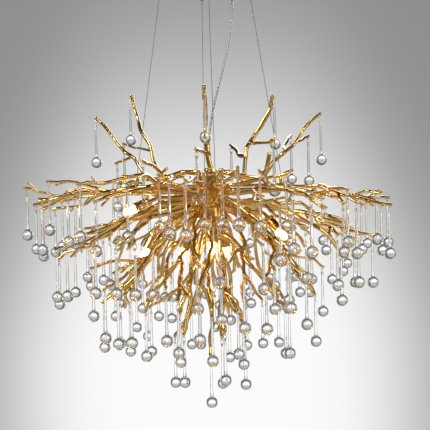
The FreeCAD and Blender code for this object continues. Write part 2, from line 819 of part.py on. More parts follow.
def branches_of(drops, port, circle=None):
    """The branches of one tier, whose roots are evenly spaced round the hub."""
    ordered = sorted(drops, key=lambda drop: azimuth_of(drop.tip))
    count = max(1, round(len(ordered) / TIPS_PER_BRANCH))
    shares = [ordered[len(ordered) * part // count: len(ordered) * (part + 1) // count]
              for part in range(count)]
    middles = []
    for part, members in enumerate(shares):
        total = V(0, 0, 0)
        for drop in members:
            total = total + V(drop.tip.x, drop.tip.y, 0)
        middles.append(azimuth_of(total) - 360.0 * part / count)
    shift = azimuth_of(sum((polar(1.0, middle) for middle in middles), V(0, 0, 0)))
    made = []
    unreached = 0
    for part, members in enumerate(shares):
        azimuth = shift + 360.0 * part / count
        if circle is None:
            root = polar(HUB - SOCKET, azimuth, HUB_SEAT - port)
            stub = polar(HUB + size("rod_stub"), azimuth, HUB_SEAT - port)
        else:
            root = polar(circle, azimuth, HUB_BOTTOM + SOCKET)
            stub = root - UP * (SOCKET + size("rod_stub"))
        side = 1 if part % 2 == 0 else -1
        strands, left = grow(root, stub, members, side)
        unreached = unreached + len(left)
        if strands:
            made.append(strands)
    print("branches", len(made), "drops", len(drops), "without a clear way", unreached)
    return made


def rising_branches():
    """The branches above the crown, whose strands follow the routes seen."""
    made = []
    middles = [azimuth_of(seen(*routes[0][0][1])) for routes in RISING_ROUTES_PX]
    for routes, middle in zip(RISING_ROUTES_PX, middles):
        strands = []
        for route, carries in routes:
            points = [seen(*row) for row in route]
            radius = TWIG if strands else TRUNK
            if not strands:
                root = polar(size("rising_circle"), middle, HUB_TOP - SOCKET)
                points = [root, root + UP * (SOCKET + size("rod_stub"))] + points
            run = points[-1] - points[-2]
            drop = hang(points[-1] + lug_offset(run) - UP * BALL_FALL, "rising") if carries \
                else None
            if drop:
                points = overhung(points[:-1] + [drop.tip - lug_offset(run)])
                drop.yaw = azimuth_of(run) + 90.0
            strands.append(Strand(points, radius, drop))
        made.append(strands)
        for strand in strands:
            obstacles.add(strand.points, strand.radius, strands[0])
    return made


rising = rising_branches()
upper_drops = hang_all(UPPER_BALLS_PX, "upper")
middle_drops = hang_all(MIDDLE_BALLS_PX, "middle")
lower_drops = hang_all(LOWER_BALLS_PX, "lower")
bottom_drops = hang_all(BOTTOM_BALLS_PX, "bottom")
BRANCHES = {
    "rising": rising,
    "upper": branches_of(upper_drops, size("upper_port")),
    "bottom": branches_of(bottom_drops, 0.0, size("bottom_circle")),
    "lower": branches_of(lower_drops, size("lower_port")),
    "middle": branches_of(middle_drops, size("middle_port")),
}


def eyelet(strand):
    """The drilled lug under a strand's tip, whose hole lies across the rod."""
    across = polar(1.0, strand.drop.yaw)
    near = strand.drop.tip - UP * EYELET_FALL - across * size("eyelet_thickness") / 2
    lug = Part.makeCylinder(size("eyelet_radius"), size("eyelet_thickness"), near, across)
    hole = Part.makeCylinder(EYELET_HOLE, size("eyelet_thickness"), near, across)
    return lug.cut(hole).Solids[0]


def knob(radius, centre, along):
    """A ball on a rod, whose poles and seam lie inside the rod or off its edges."""
    ball = Part.makeSphere(radius, centre, along)
    ball.rotate(centre, along, KNOB_TURN)
    return ball


def kinked(points, radius, knob_radius):
    """A rod of straight runs with a small knob at each kink."""
    pieces = []
    for start, end in zip(points, points[1:]):
        pieces.append(Part.makeCylinder(radius, (end - start).Length, start, end - start))
    for before, kink, after in zip(points, points[1:], points[2:]):
        along = (kink - before).normalize() + (after - kink).normalize()
        pieces.append(knob(knob_radius, kink, along))
    return pieces


def run_under(place, strands):
    """The direction of the run that a twig starts on."""
    runs = [(start, end) for strand in strands
            for start, end in zip(strand.points, strand.points[1:])]
    start, end = min(runs, key=lambda run: place.distanceToLineSegment(*run).Length)
    return end - start


def branch_pieces(strands, growth_share):
    """A branch's rods, with a knuckle at each fork and a lug under each tip."""
    pieces = []
    knuckle = size("knuckle_radius") * (1 + growth_share)
    for number, strand in enumerate(strands):
        knob_radius = strand.radius * KNOB_SHARE * (1 + growth_share)
        pieces.extend(kinked(strand.points, strand.radius, knob_radius))
        if number:
            fork = strand.points[0]
            pieces.append(knob(knuckle if strand.drop else knuckle * STUB_KNUCKLE_SHARE, fork,
                               run_under(fork, strands[:number])))
        if strand.drop:
            pieces.append(eyelet(strand))
    return pieces


def sound(shape, strands):
    """Whether a fused branch is one valid solid that still has every strand in it."""
    if len(shape.Solids) != 1 or not shape.isValid():
        return False
    ends = [point for strand in strands for point in (strand.points[0], strand.points[-1])]
    return all(shape.isInside(point, size("fit_gap"), True) for point in ends)


def branch_shape(strands):
    """One branch as a single sound solid; its knuckles grow a little where it needs that."""
    for growth_share in GROWTH_SHARES:
        pieces = branch_pieces(strands, growth_share)
        fused = pieces[0].multiFuse(pieces[1:])
        if sound(fused, strands):
            return fused.Solids[0]
        fused = pieces[0]
        for piece in pieces[1:]:
            fused = fused.fuse(piece)
        if sound(fused, strands):
            return fused.Solids[0]
    raise ValueError("a branch falls apart")


for name, branches in BRANCHES.items():
    shapes = [branch_shape(strands) for strands in branches]
    keep(solid_of(name + "_branches", Part.makeCompound(shapes)), name + "_branches")


# Glass drops and the wire links they hang from

def glass_pattern():
    """One glass drop: ball, collar, tapering stem and a drilled nub at the origin."""
    ball = bound("Part::Sphere", "glass_ball", Radius="ball_radius")
    ball.setExpression("Placement.Base.z", tied(f"-({GLASS_HANG})"))
    stem = bound("Part::Cone", "glass_stem", Radius1="stem_radius", Radius2="stem_top_radius",
                 Height=GLASS_HANG)
    stem.setExpression("Placement.Base.z", tied(f"-({GLASS_HANG})"))
    collar = bound("Part::Cone", "glass_collar", Radius1="collar_radius",
                   Radius2="stem_radius - fit_gap", Height="collar_radius")
    collar.setExpression("Placement.Base.z", tied(f"ball_radius - collar_sink - ({GLASS_HANG})"))
    round_nub = bound("Part::Sphere", "glass_nub", Radius="nub_radius")
    union = doc.addObject("Part::MultiFuse", "glass_body")
    union.Shapes = [ball, stem, collar, round_nub]
    hole = bound("Part::Cylinder", "glass_hole", Radius="nub_hole", Height="2 * nub_radius")
    hole.Placement.Rotation = facing(V(1, 0, 0))
    hole.setExpression("Placement.Base.x", tied("-nub_radius"))
    flats = []
    for start in ("nub_thickness / 2", "-nub_thickness / 2 - nub_radius"):
        flat = bound("Part::Box", "glass_nub_flat", Length="nub_radius",
                     Width="2 * nub_radius", Height="2 * nub_radius")
        flat.setExpression("Placement.Base.x", tied(start))
        flat.setExpression("Placement.Base.y", tied("-nub_radius"))
        flat.setExpression("Placement.Base.z", tied("-nub_radius"))
        flats.append(flat)
    return cut("glass_drop", union, [hole] + flats)


def link_pattern():
    """One wire link in the XZ plane, with the middle of its lower bar at the origin."""
    half = size("link_width") / 2
    height = size("link_height")
    bend = size("link_bend")
    corners = ((half, 0, 1, -1), (half, height, 1, 1), (-half, height, -1, 1),
               (-half, 0, -1, -1))
    edges = []
    start = V(0, 0, 0)
    for across, rise, side, level in corners:
        centre = V(across - side * bend, 0, rise - level * bend)
        first, last = V(centre.x, 0, rise), V(across, 0, centre.z)
        if side * level > 0:
            first, last = last, first
        middle = centre + V(side, 0, level).normalize() * bend
        edges.append(Part.LineSegment(start, first).toShape())
        edges.append(Part.Arc(first, middle, last).toShape())
        start = last
    edges.append(Part.LineSegment(start, V(0, 0, 0)).toShape())
    profile = Part.Wire(Part.Circle(V(0, 0, 0), V(1, 0, 0), size("link_wire")).toShape())
    return Part.Wire(edges).makePipeShell([profile], True, False)


def swings_clear(drop):
    """Whether the drop can swing both ways about its link without touching anything."""
    pivot = drop.tip - UP * PIVOT_FALL
    axis = polar(1.0, drop.yaw)
    for share in SWING_SHARES:
        turn = FreeCAD.Rotation(axis, share * size("swing_angle"))
        for path, radius in (drop.bars()[0], ([drop.ball, pivot], size("nub_radius"))):
            held = [pivot + turn.multVec(point - pivot) for point in path]
            if obstacles.gap(held, radius, size("drop_gap"), (drop,)) < size("drop_gap"):
                return False
    return True


def swinging_of(drops):
    """The outermost drops that swing clear, well apart from each other."""
    chosen = []
    for drop in sorted(drops, key=lambda drop: -V(drop.ball.x, drop.ball.y, 0).Length):
        apart = all((drop.ball - other.ball).Length > size("swing_room") for other in chosen)
        if len(chosen) < SWINGING and apart and swings_clear(drop):
            chosen.append(drop)
    return sorted(chosen, key=lambda drop: drop.ball.x)


hung = [strand.drop for branches in BRANCHES.values() for strands in branches
        for strand in strands if strand.drop]
swinging = swinging_of(hung)
glass = glass_pattern()
doc.recompute()
link_shape = link_pattern()
links = []
for drop in hung:
    link = link_shape.copy()
    link.Placement = FreeCAD.Placement(drop.tip - UP * PIVOT_FALL,
                                       FreeCAD.Rotation(UP, drop.yaw))
    links.append(link)
keep(solid_of("wire_links", Part.makeCompound(links)), "wire_links")
for tier in BRANCHES:
    fixed = [drop for drop in hung if drop.tier == tier and drop not in swinging]
    copies = []
    for drop in fixed:
        copy = glass.Shape.copy()
        copy.Placement = drop.place()
        copies.append(copy)
    if copies:
        keep(solid_of(tier + "_drops", Part.makeCompound(copies)), tier + "_drops")
for number, drop in enumerate(swinging, start=1):
    name = f"drop_{number:02d}"
    keep(solid_of(name, glass.Shape, drop.place()), name)
    pivot = drop.tip - UP * PIVOT_FALL
    axis = polar(1.0, drop.yaw)
    print("hinge", name, *(round(value, 4) for value in (*pivot, *axis)))


# Lamps: arm, sleeve, holder and bulb, each made once and set at its place

def lamp_patterns():
    """The sleeve, the holder and the bulb, standing on the sleeve's back at the origin."""
    sleeve = turned("sleeve", [("sleeve_radius", "sleeve_length", "0")],
                    [("sleeve_radius - sleeve_wall", "sleeve_length", "sleeve_wall")])
    holder_floor = "sleeve_wall + holder_length - holder_recess"
    socket = turned("socket", [("holder_radius", "holder_length", "sleeve_wall")],
                    [("bulb_base_radius + seat_gap", "holder_length", holder_floor)])
    seat = f"{holder_floor} + seat_gap"
    base = cylinder("bulb_base", "bulb_base_radius", "bulb_base_length", "0", "0", seat)
    envelope = f"{seat} + bulb_base_length"
    straight = "bulb_length - bulb_radius"
    capsule = cylinder("bulb_capsule", "bulb_radius", straight, "0", "0", envelope)
    dome = bound("Part::Sphere", "bulb_dome", Radius="bulb_radius")
    dome.setExpression("Placement.Base.z", tied(f"{envelope} + {straight}"))
    pins = []
    holes = []
    for side in ("", "-"):
        across = f"{side}pin_spacing / 2"
        low = f"{seat} - pin_length"
        pins.append(cylinder("bulb_pin", "pin_radius", "pin_length + overrun", across, "0", low))
        holes.append(cylinder("pin_hole", "pin_radius + pin_play", "pin_length + overrun",
                              across, "0", f"{low} - seat_gap"))
    bulb = doc.addObject("Part::MultiFuse", "bulb")
    bulb.Shapes = [base, capsule, dome] + pins
    return sleeve, cut("holder", socket, holes), bulb


sleeve, holder, bulb = lamp_patterns()
doc.recompute()
arms = [rod(lamp.path, size("lamp_arm_radius"), size("lamp_arm_bend")) for lamp in lamps]
keep(solid_of("lamp_arms", Part.makeCompound(arms)), "lamp_arms")
for pattern, name in ((sleeve, "lamp_sleeves"), (holder, "lamp_holders")):
    copies = []
    for lamp in lamps:
        copy = pattern.Shape.copy()
        copy.Placement = lamp.turned()
        copies.append(copy)
    keep(solid_of(name, Part.makeCompound(copies)), name)
for number, lamp in enumerate(lamps, start=1):
    keep(solid_of(f"bulb_{number}", bulb.Shape, lamp.turned()), f"bulb_{number}")
    print("slide", f"bulb_{number}", *(round(value, 5) for value in lamp.direction))


# Hub, its cover, connector and gland

def socket_cuts(places):
    """The sockets that hold round roots, as one compound of cylinders."""
    bores = []
    for start, direction, radius in places:
        outer = radius + size("fit_gap")
        bores.append(Part.makeCylinder(outer, SOCKET + size("overrun"), start, direction))
    return Part.makeCompound(bores)


side_places = [(lamp.root, lamp.outward, size("lamp_arm_radius")) for lamp in lamps]
cover_places = []
for name, branches in BRANCHES.items():
    for strands in branches:
        root, stub = strands[0].points[:2]
        places = cover_places if name == "rising" else side_places
        places.append((root, stub - root, TRUNK))
hub_blank = turned("hub_blank", [("hub_radius", "hub_height", HUB_BOTTOM_LEVEL)],
                   [("hub_bore", "hub_height", f"{HUB_BOTTOM_LEVEL} + hub_floor")])
arm_slots = []
for quarter in range(4):
    slot = arm_bar(f"arm_slot_{quarter}", quarter, "arm_width + 2 * fit_gap",
                   "arm_thickness + 2 * fit_gap")
    arm_slots.append(slot)
side_sockets = solid_of("side_sockets", socket_cuts(side_places))
keep(cut("hub_body", hub_blank, arm_slots + [side_sockets]), "hub_body")
spigot = f"{HUB_SEAT_LEVEL} - hub_spigot_height"
cover_blank = turned(
    "cover_blank",
    [("hub_radius", "hub_cover_height", HUB_SEAT_LEVEL),
     ("hub_bore - fit_gap", "hub_spigot_height", spigot)],
    [("gland_thread_radius + fit_gap", "hub_cover_height + hub_spigot_height", spigot)])
cover_sockets = solid_of("cover_sockets", socket_cuts(cover_places))
keep(cut("hub_cover", cover_blank, [cover_sockets]), "hub_cover")
keep(cylinder("hub_connector", "connector_radius", "connector_height", "0", "0",
              f"{HUB_BOTTOM_LEVEL} + hub_floor"), "hub_connector")

# Carrier arms, wire anchors and their screws
bars = []
anchors = []
screws = []
for quarter in range(4):
    bar = arm_bar(f"arm_{quarter}", quarter, "arm_width", "arm_thickness")
    across, away = around("anchor_circle", quarter)
    under = f"{ARM_TOP_LEVEL} - arm_thickness"
    hole = cylinder("arm_hole", "anchor_screw_radius + fit_gap", "arm_thickness", across, away,
                    under)
    bars.append(cut(f"carrier_arm_{quarter}", bar, [hole]))
    anchors.append(turned(
        f"anchor_{quarter}", [("anchor_radius", "anchor_height", ARM_TOP_LEVEL)],
        [("anchor_bore", "anchor_bore_depth",
          f"{ARM_TOP_LEVEL} + anchor_height - anchor_bore_depth"),
         ("anchor_screw_radius + fit_gap", "anchor_height / 2", ARM_TOP_LEVEL)], across, away))
    screws.append(turned(
        f"screw_{quarter}",
        [("anchor_screw_head", "anchor_screw_head_height", f"{under} - anchor_screw_head_height"),
         ("anchor_screw_radius", "arm_thickness + anchor_height / 2 - seat_gap", under)],
        (), across, away))
keep(group("carrier_arms", bars), "carrier_arms")
keep(group("wire_anchors", anchors), "wire_anchors")
keep(group("anchor_screws", screws), "anchor_screws")

# Wire grippers under the canopy: bodies, nuts, sprung plungers and the wires
bodies = []
nuts = []
wires = []
bore_depth = "plunger_inside + plunger_travel + plunger_room"
for quarter in range(4):
    across, away = around("gripper_circle", quarter)
    thread_top = f"{FLOOR_LEVEL} + canopy_wall + gripper_nut_height + seat_gap"
    bodies.append(turned(
        f"gripper_{quarter}",
        [("gripper_radius", "gripper_length", GRIPPER_END_LEVEL),
         ("gripper_thread_radius", f"({thread_top}) - ({FLOOR_LEVEL})", FLOOR_LEVEL)],
        [("plunger_radius + seat_gap", bore_depth, GRIPPER_END_LEVEL)], across, away))
    nuts.append(turned(
        f"gripper_nut_{quarter}",
        [("gripper_nut_radius", "gripper_nut_height", f"{FLOOR_LEVEL} + canopy_wall")],
        [("gripper_thread_radius + fit_gap", "gripper_nut_height",
          f"{FLOOR_LEVEL} + canopy_wall")], across, away))
    lip = f"{GRIPPER_END_LEVEL} - plunger_travel - seat_gap - plunger_lip"
    plunger_height = "plunger_lip + seat_gap + plunger_travel + plunger_inside"
    plunger = turned(
        f"plunger_{quarter}",
        [("plunger_lip_radius", "plunger_lip", lip), ("plunger_radius", plunger_height, lip)],
        [("plunger_bore", plunger_height, lip)], across, away)
    keep(plunger, f"gripper_plunger_{quarter + 1}")
    azimuth = QUARTERS[quarter]
    guide = polar(size("gripper_circle"), azimuth, GRIPPER_END)
    foot = polar(size("anchor_circle"), azimuth,
                 ARM_TOP + size("anchor_height") - size("anchor_bore_depth"))
    slope = (guide - foot) * (1 / (guide.z - foot.z))
    top = guide + slope * worth(bore_depth)
    section = Part.Face(Part.Wire(Part.Circle(foot, UP, size("wire_radius")).toShape()))
    wires.append(section.extrude(top - foot))
keep(group("gripper_bodies", bodies), "gripper_bodies")
keep(group("gripper_nuts", nuts), "gripper_nuts")
keep(solid_of("suspension_wires", Part.makeCompound(wires)), "suspension_wires")

# Glands of the power cord, their nuts, and the cord's free run between them
gland_nut = "gland_thread_radius + seat_gap + 2 * fit_gap"
canopy_thread = "canopy_wall + gland_nut_height + seat_gap"
keep(turned(
    "canopy_gland",
    [("gland_radius", "gland_length", f"{FLOOR_LEVEL} - gland_length"),
     ("gland_thread_radius", canopy_thread, FLOOR_LEVEL)],
    [("cord_radius + fit_gap", f"gland_length + {canopy_thread}",
      f"{FLOOR_LEVEL} - gland_length")], "cord_offset", "0"), "canopy_gland")
hub_thread = "hub_cover_height + hub_spigot_height + gland_nut_height"
keep(turned(
    "hub_gland",
    [("gland_radius", "gland_length", HUB_TOP_LEVEL),
     ("gland_thread_radius", hub_thread, f"{HUB_TOP_LEVEL} - ({hub_thread})")],
    [("cord_radius + fit_gap", f"gland_length + {hub_thread}",
      f"{HUB_TOP_LEVEL} - ({hub_thread})")]), "hub_gland")
gland_nuts = []
for number, (across, level) in enumerate((
        ("cord_offset", f"{FLOOR_LEVEL} + canopy_wall"),
        ("0", f"{HUB_TOP_LEVEL} - ({hub_thread})"))):
    gland_nuts.append(turned(
        f"gland_nut_{number}", [("gland_radius", "gland_nut_height", level)],
        [("gland_thread_radius + fit_gap", "gland_nut_height", level)], across, "0"))
keep(group("gland_nuts", gland_nuts), "gland_nuts")
cord_wire, cord_radii = rounded_path(CORD_ROUTE)
cord_profile = Part.Wire(
    Part.Circle(CORD_ROUTE[0], CORD_ROUTE[1] - CORD_ROUTE[0], size("cord_radius")).toShape())
cord = cord_wire.makePipeShell([cord_profile], True, False)
print("cord radii", [round(radius) for radius in cord_radii])
print("cord volume", round(cord.Volume),
      round(math.pi * size("cord_radius") ** 2 * cord_wire.Length))
keep(solid_of("power_cord", cord), "power_cord")

# Canopy: a turned cup with holes for the studs, the grippers and the gland
canopy = doc.addObject("PartDesign::Body", "canopy")
profile = sketch_on(canopy, "canopy_profile", "XZ_Plane")
floor_top = f"{FLOOR_LEVEL} + canopy_wall"
inner = "canopy_radius - canopy_wall"
outline(profile, (
    ("0", FLOOR_LEVEL), ("canopy_radius - canopy_round", FLOOR_LEVEL),
    ("canopy_radius", f"{FLOOR_LEVEL} + canopy_round"), ("canopy_radius", "0"), (inner, "0"),
    (inner, f"{floor_top} + canopy_round - canopy_wall / 2"),
    ("canopy_radius - canopy_round - canopy_wall / 2", floor_top), ("0", floor_top)))
cup = canopy.newObject("PartDesign::Revolution", "canopy_cup")
cup.Profile = profile
cup.ReferenceAxis = (profile, ["V_Axis"])
cup.Angle = 360
openings = sketch_on(canopy, "canopy_openings", "XY_Plane")
for side in ("", "-"):
    ring(openings, "0", f"{side}stud_spacing / 2", "stud_radius + fit_gap")
for quarter in range(4):
    ring(openings, *around("gripper_circle", quarter), "gripper_thread_radius + fit_gap")
ring(openings, "cord_offset", "0", "gland_thread_radius + fit_gap")
pocket(canopy, "canopy_holes", openings, "2 * canopy_height + overrun")
keep(canopy, "canopy_cover")

# Mounting bracket: a flat bar with two slots, stud holes and block screw holes
bracket = doc.addObject("PartDesign::Body", "bracket")
flat = sketch_on(bracket, "bracket_outline", "XY_Plane")
half_width = "bracket_width / 2"
half_length = "bracket_length / 2"
outline(flat, ((half_width, half_length), (f"-{half_width}", half_length),
               (f"-{half_width}", f"-{half_length}"), (half_width, f"-{half_length}")))
bar = bracket.newObject("PartDesign::Pad", "bracket_bar")
bar.Profile = flat
bar.setExpression("Length", tied("bracket_thickness"))
bar.Reversed = True
slots = sketch_on(bracket, "bracket_slots", "XY_Plane")
ends = sketch_on(bracket, "bracket_slot_ends", "XY_Plane")
for side in (1, -1):
    middle = f"{side} * slot_spacing / 2"
    reach = "(slot_length - slot_width) / 2"
    outline(slots, (("slot_width / 2", f"{middle} + {reach}"),
                    ("-slot_width / 2", f"{middle} + {reach}"),
                    ("-slot_width / 2", f"{middle} - {reach}"),
                    ("slot_width / 2", f"{middle} - {reach}")))
    for end in (1, -1):
        ring(ends, "0", f"{middle} + {end} * {reach}", "slot_width / 2")
    ring(ends, "0", f"{side} * stud_spacing / 2", "stud_radius + fit_gap")
through = "2 * bracket_thickness + overrun"
pocket(bracket, "bracket_slot_cuts", slots, through)
pocket(bracket, "bracket_end_cuts", ends, through)
keep(bracket, "mounting_bracket")

# Studs, their lock nuts, and the domed nuts that hold the canopy up
studs = []
domes = []
stud_end = f"{FLOOR_LEVEL} - cap_nut_height / 2"
for side in ("", "-"):
    away = f"{side}stud_spacing / 2"
    studs.append(cylinder("stud", "stud_radius", f"-({stud_end})", "0", away, stud_end))
    under = "-bracket_thickness - locknut_height"
    studs.append(turned("locknut" + side, [("locknut_radius", "locknut_height", under)],
                        [("stud_radius + fit_gap", "locknut_height", under)], "0", away))
    low = f"{FLOOR_LEVEL} - cap_nut_height"
    block = cylinder("cap_block", "cap_nut_radius", "cap_nut_height", "0", away, low)
    dome = bound("Part::Sphere", "cap_dome", Radius="cap_nut_height")
    dome.setExpression("Placement.Base.y", tied(away))
    dome.setExpression("Placement.Base.z", tied(FLOOR_LEVEL))
    capped = doc.addObject("Part::Common", "cap")
    capped.Base = block
    capped.Tool = dome
    bore = cylinder("cap_bore", "stud_radius + fit_gap", "cap_nut_height / 2 + seat_gap", "0",
                    away, f"{stud_end} - seat_gap")
    domes.append(cut("cap_nut", capped, [bore]))
keep(group("bracket_studs", studs), "bracket_studs")
keep(group("cap_nuts", domes), "cap_nuts")

# Terminal block under the bracket, with its screws
block = bound("Part::Box", "block", Length="block_width", Width="block_length",
              Height="block_height")
block.setExpression("Placement.Base.x", tied("-block_width / 2"))
block.setExpression("Placement.Base.y", tied("-block_length / 2"))
under_block = "-bracket_thickness - block_height"
block.setExpression("Placement.Base.z", tied(under_block))
wells = []
terminal_screws = []
for step in (-1, 0, 1):
    away = f"{step} * block_screw_pitch"
    wells.append(cylinder("screw_well", "block_screw_radius + fit_gap", "block_height / 2",
                          "0", away, under_block))
    terminal_screws.append(cylinder("terminal_screw", "block_screw_radius",
                                    "block_height / 3", "0", away,
                                    f"{under_block} + block_height / 6"))
keep(cut("terminal_block", block, wells), "terminal_block")
keep(group("terminal_screws", terminal_screws), "terminal_screws")

doc.recompute()
for item in doc.Objects:
    assert "Invalid" not in item.State and "Error" not in item.State, item.Name
for item in NODES:
    assert not item.Shape.isNull() and item.Shape.isValid(), item.Label
os.makedirs("parts", exist_ok=True)
for item in NODES:
    item.Shape.exportStep(f"parts/{item.Label}.step")
print("nodes", len(NODES))
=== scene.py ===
"""The looks of the branch chandelier with hanging glass drops.

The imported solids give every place: gold rods are smoothed, thickened towards the hub and
given a hand-bent line, and each glass drop, lamp and ceiling fitting is made anew on the
solid that it stands for. Lengths are metres, Z is up, the origin is on the ceiling.
"""

import json
import logging
import math
from dataclasses import dataclass, field
from enum import Enum

import bmesh
import bpy
import numpy as np
from mathutils import Matrix, Vector
from mathutils.kdtree import KDTree


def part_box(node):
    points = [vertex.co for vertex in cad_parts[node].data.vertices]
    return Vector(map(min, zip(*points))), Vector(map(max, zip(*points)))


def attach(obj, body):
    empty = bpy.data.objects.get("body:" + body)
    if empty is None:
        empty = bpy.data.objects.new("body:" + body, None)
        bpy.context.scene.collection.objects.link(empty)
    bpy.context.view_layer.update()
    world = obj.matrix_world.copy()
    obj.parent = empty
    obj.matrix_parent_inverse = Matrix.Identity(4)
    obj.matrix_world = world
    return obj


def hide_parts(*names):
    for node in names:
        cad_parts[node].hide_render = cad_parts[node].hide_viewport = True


LOG = logging.getLogger("chandelier")
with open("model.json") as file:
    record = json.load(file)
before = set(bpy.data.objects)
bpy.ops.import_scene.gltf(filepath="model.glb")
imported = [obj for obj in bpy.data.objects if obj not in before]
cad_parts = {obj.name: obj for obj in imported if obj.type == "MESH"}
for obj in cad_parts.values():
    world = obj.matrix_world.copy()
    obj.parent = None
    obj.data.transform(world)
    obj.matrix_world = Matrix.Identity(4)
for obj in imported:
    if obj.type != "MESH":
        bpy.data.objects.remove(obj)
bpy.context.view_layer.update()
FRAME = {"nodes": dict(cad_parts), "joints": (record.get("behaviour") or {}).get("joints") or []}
FIXED = "frame"
UP = Vector((0, 0, 1))
SAME_POINT = 2e-6


class Tier(Enum):
    """The rings of branches, from the top down."""

    RISING = "rising"
    UPPER = "upper"
    MIDDLE = "middle"
    LOWER = "lower"
    BOTTOM = "bottom"


class Slot(Enum):
    """The record's material slots."""

    GOLD = "polished_gold"
    GLASS = "clear_glass"
    BULB = "lit_bulb"
    LINK = "link_wire"
    SHEATH = "clear_sheath"
    STEEL = "bright_steel"
    NICKEL = "nickel"
    ZINC = "zinc_steel"
    CERAMIC = "white_ceramic"
    PLASTIC = "clear_plastic"
    BRASS = "terminal_brass"


# ---- finishes


class Paint:
    """One material's node tree, filled step by step."""

    def __init__(self, name: str) -> None:
        """Starts a material with a Principled shader.

        Args:
            name: The material's name.
        """
        self.material = bpy.data.materials.new(name)
        self.material.use_nodes = True
        self.nodes = self.material.node_tree.nodes
        self.links = self.material.node_tree.links
        self.shader = self.nodes["Principled BSDF"]
        self.place = self.node("ShaderNodeTexCoord").outputs["Object"]

    def node(self, kind: str, **settings: object) -> bpy.types.Node:
        """Adds a node.

        Args:
            kind: The node's type.
            settings: Its properties, or the values of its inputs by name.

        Returns:
            The new node.
        """
        made = self.nodes.new(kind)
        for key, value in settings.items():
            if hasattr(made, key):
                setattr(made, key, value)
            else:
                made.inputs[key.replace("_", " ")].default_value = value
        return made

    def set(self, **values: object) -> None:
        """Sets inputs of the shader.

        Args:
            values: Each input's name, with underscores for spaces, and its value.
        """
        for key, value in values.items():
            self.shader.inputs[key.replace("_", " ")].default_value = value

    def grain(self, scale: float, detail: float = 3.0,
              stretch: tuple = (1, 1, 1)) -> bpy.types.NodeSocket:
        """A noise that lies fixed on the object.

        Args:
            scale: Its fineness, in grains a metre.
            detail: How many finer layers it has.
            stretch: Its scale along each axis.

        Returns:
            The socket of the noise's value.
        """
        mapping = self.node("ShaderNodeMapping", Scale=stretch)
        self.links.new(self.place, mapping.inputs["Vector"])
        made = self.node("ShaderNodeTexNoise", Scale=scale, Detail=detail)
        self.links.new(mapping.outputs["Vector"], made.inputs["Vector"])
        return made.outputs["Fac"]

    def spread(self, value: bpy.types.NodeSocket, low: float,
               high: float) -> bpy.types.NodeSocket:
        """Maps the middle of a noise to a range.

        Args:
            value: The noise's socket.
            low: The result for a low noise.
            high: The result for a high noise.

        Returns:
            The mapped socket.
        """
        made = self.node("ShaderNodeMapRange", From_Min=0.3, From_Max=0.7, To_Min=low,
                         To_Max=high)
        self.links.new(value, made.inputs["Value"])
        return made.outputs["Result"]

    def tint(self, value: bpy.types.NodeSocket, *stops: tuple) -> None:
        """Colours the shader by a ramp.

        Args:
            value: The socket that drives the ramp.
            stops: Pairs of a position and a colour.
        """
        ramp = self.node("ShaderNodeValToRGB").color_ramp
        ramp_node = self.nodes[-1]
        while len(ramp.elements) < len(stops):
            ramp.elements.new(0.5)
        for element, (position, colour) in zip(ramp.elements, stops):
            element.position = position
            element.color = (*colour, 1.0)
        self.links.new(value, ramp_node.inputs["Fac"])
        self.links.new(ramp_node.outputs["Color"], self.shader.inputs["Base Color"])

    def rough(self, value: bpy.types.NodeSocket, low: float, high: float) -> None:
        """Varies the roughness with a noise between two values."""
        self.links.new(self.spread(value, low, high), self.shader.inputs["Roughness"])

    def bump(self, value: bpy.types.NodeSocket, height: float, strength: float = 1.0) -> None:
        """Raises the surface by a noise.

        Args:
            value: The socket of the height.
            height: The relief's full height, in metres.
            strength: How strongly it shows.
        """
        made = self.node("ShaderNodeBump", Strength=strength, Distance=height)
        self.links.new(value, made.inputs["Height"])
        before = self.shader.inputs["Normal"].links
        if before:
            self.links.new(before[0].from_socket, made.inputs["Normal"])
        self.links.new(made.outputs["Normal"], self.shader.inputs["Normal"])


@dataclass(frozen=True)
class GoldPlate:
    """Polished gold plating over cast rods, with deeper tone in patches and small dents."""

    light: tuple = (0.86, 0.56, 0.17)
    deep: tuple = (0.62, 0.35, 0.07)
    polish: tuple = (0.12, 0.24)
    ripple: float = 0.0007
    pitting: float = 0.00012
    name: str = "gold_plate"

    def make(self) -> bpy.types.Material:
        """The finished material."""
        paint = Paint(self.name)
        paint.set(Metallic=1.0, Coat_Weight=0.5, Coat_Roughness=0.06)
        patch = paint.grain(38.0, 4.0)
        paint.tint(patch, (0.32, self.deep), (0.58, self.light))
        paint.rough(paint.grain(160.0), *self.polish)
        paint.bump(paint.grain(120.0, 2.0), self.ripple, 0.7)
        paint.bump(paint.grain(900.0, 2.0), self.pitting, 0.5)
        return paint.material


@dataclass(frozen=True)
class ClearGlass:
    """Clear hand-drawn glass with a faint waviness."""

    colour: tuple = (0.97, 0.97, 0.96, 1.0)
    name: str = "drop_glass"

    def make(self) -> bpy.types.Material:
        """The finished material."""
        paint = Paint(self.name)
        paint.set(Base_Color=self.colour, Roughness=0.0, IOR=1.5, Transmission_Weight=1.0)
        paint.bump(paint.grain(70.0, 1.0, (1, 1, 0.3)), 0.0005, 0.25)
        return paint.material


@dataclass(frozen=True)
class LitEnvelope:
    """A capsule's frosted envelope, lit from inside in warm white."""

    glow: tuple = (1.0, 0.74, 0.42, 1.0)
    strength: float = 16.0
    name: str = "lit_envelope"

    def make(self) -> bpy.types.Material:
        """The finished material."""
        paint = Paint(self.name)
        paint.set(Emission_Color=self.glow, Emission_Strength=self.strength)
        cloud = paint.grain(90.0, 2.0)
        paint.tint(cloud, (0.3, (0.9, 0.84, 0.72)), (0.7, (0.98, 0.95, 0.88)))
        paint.rough(cloud, 0.25, 0.45)
        return paint.material


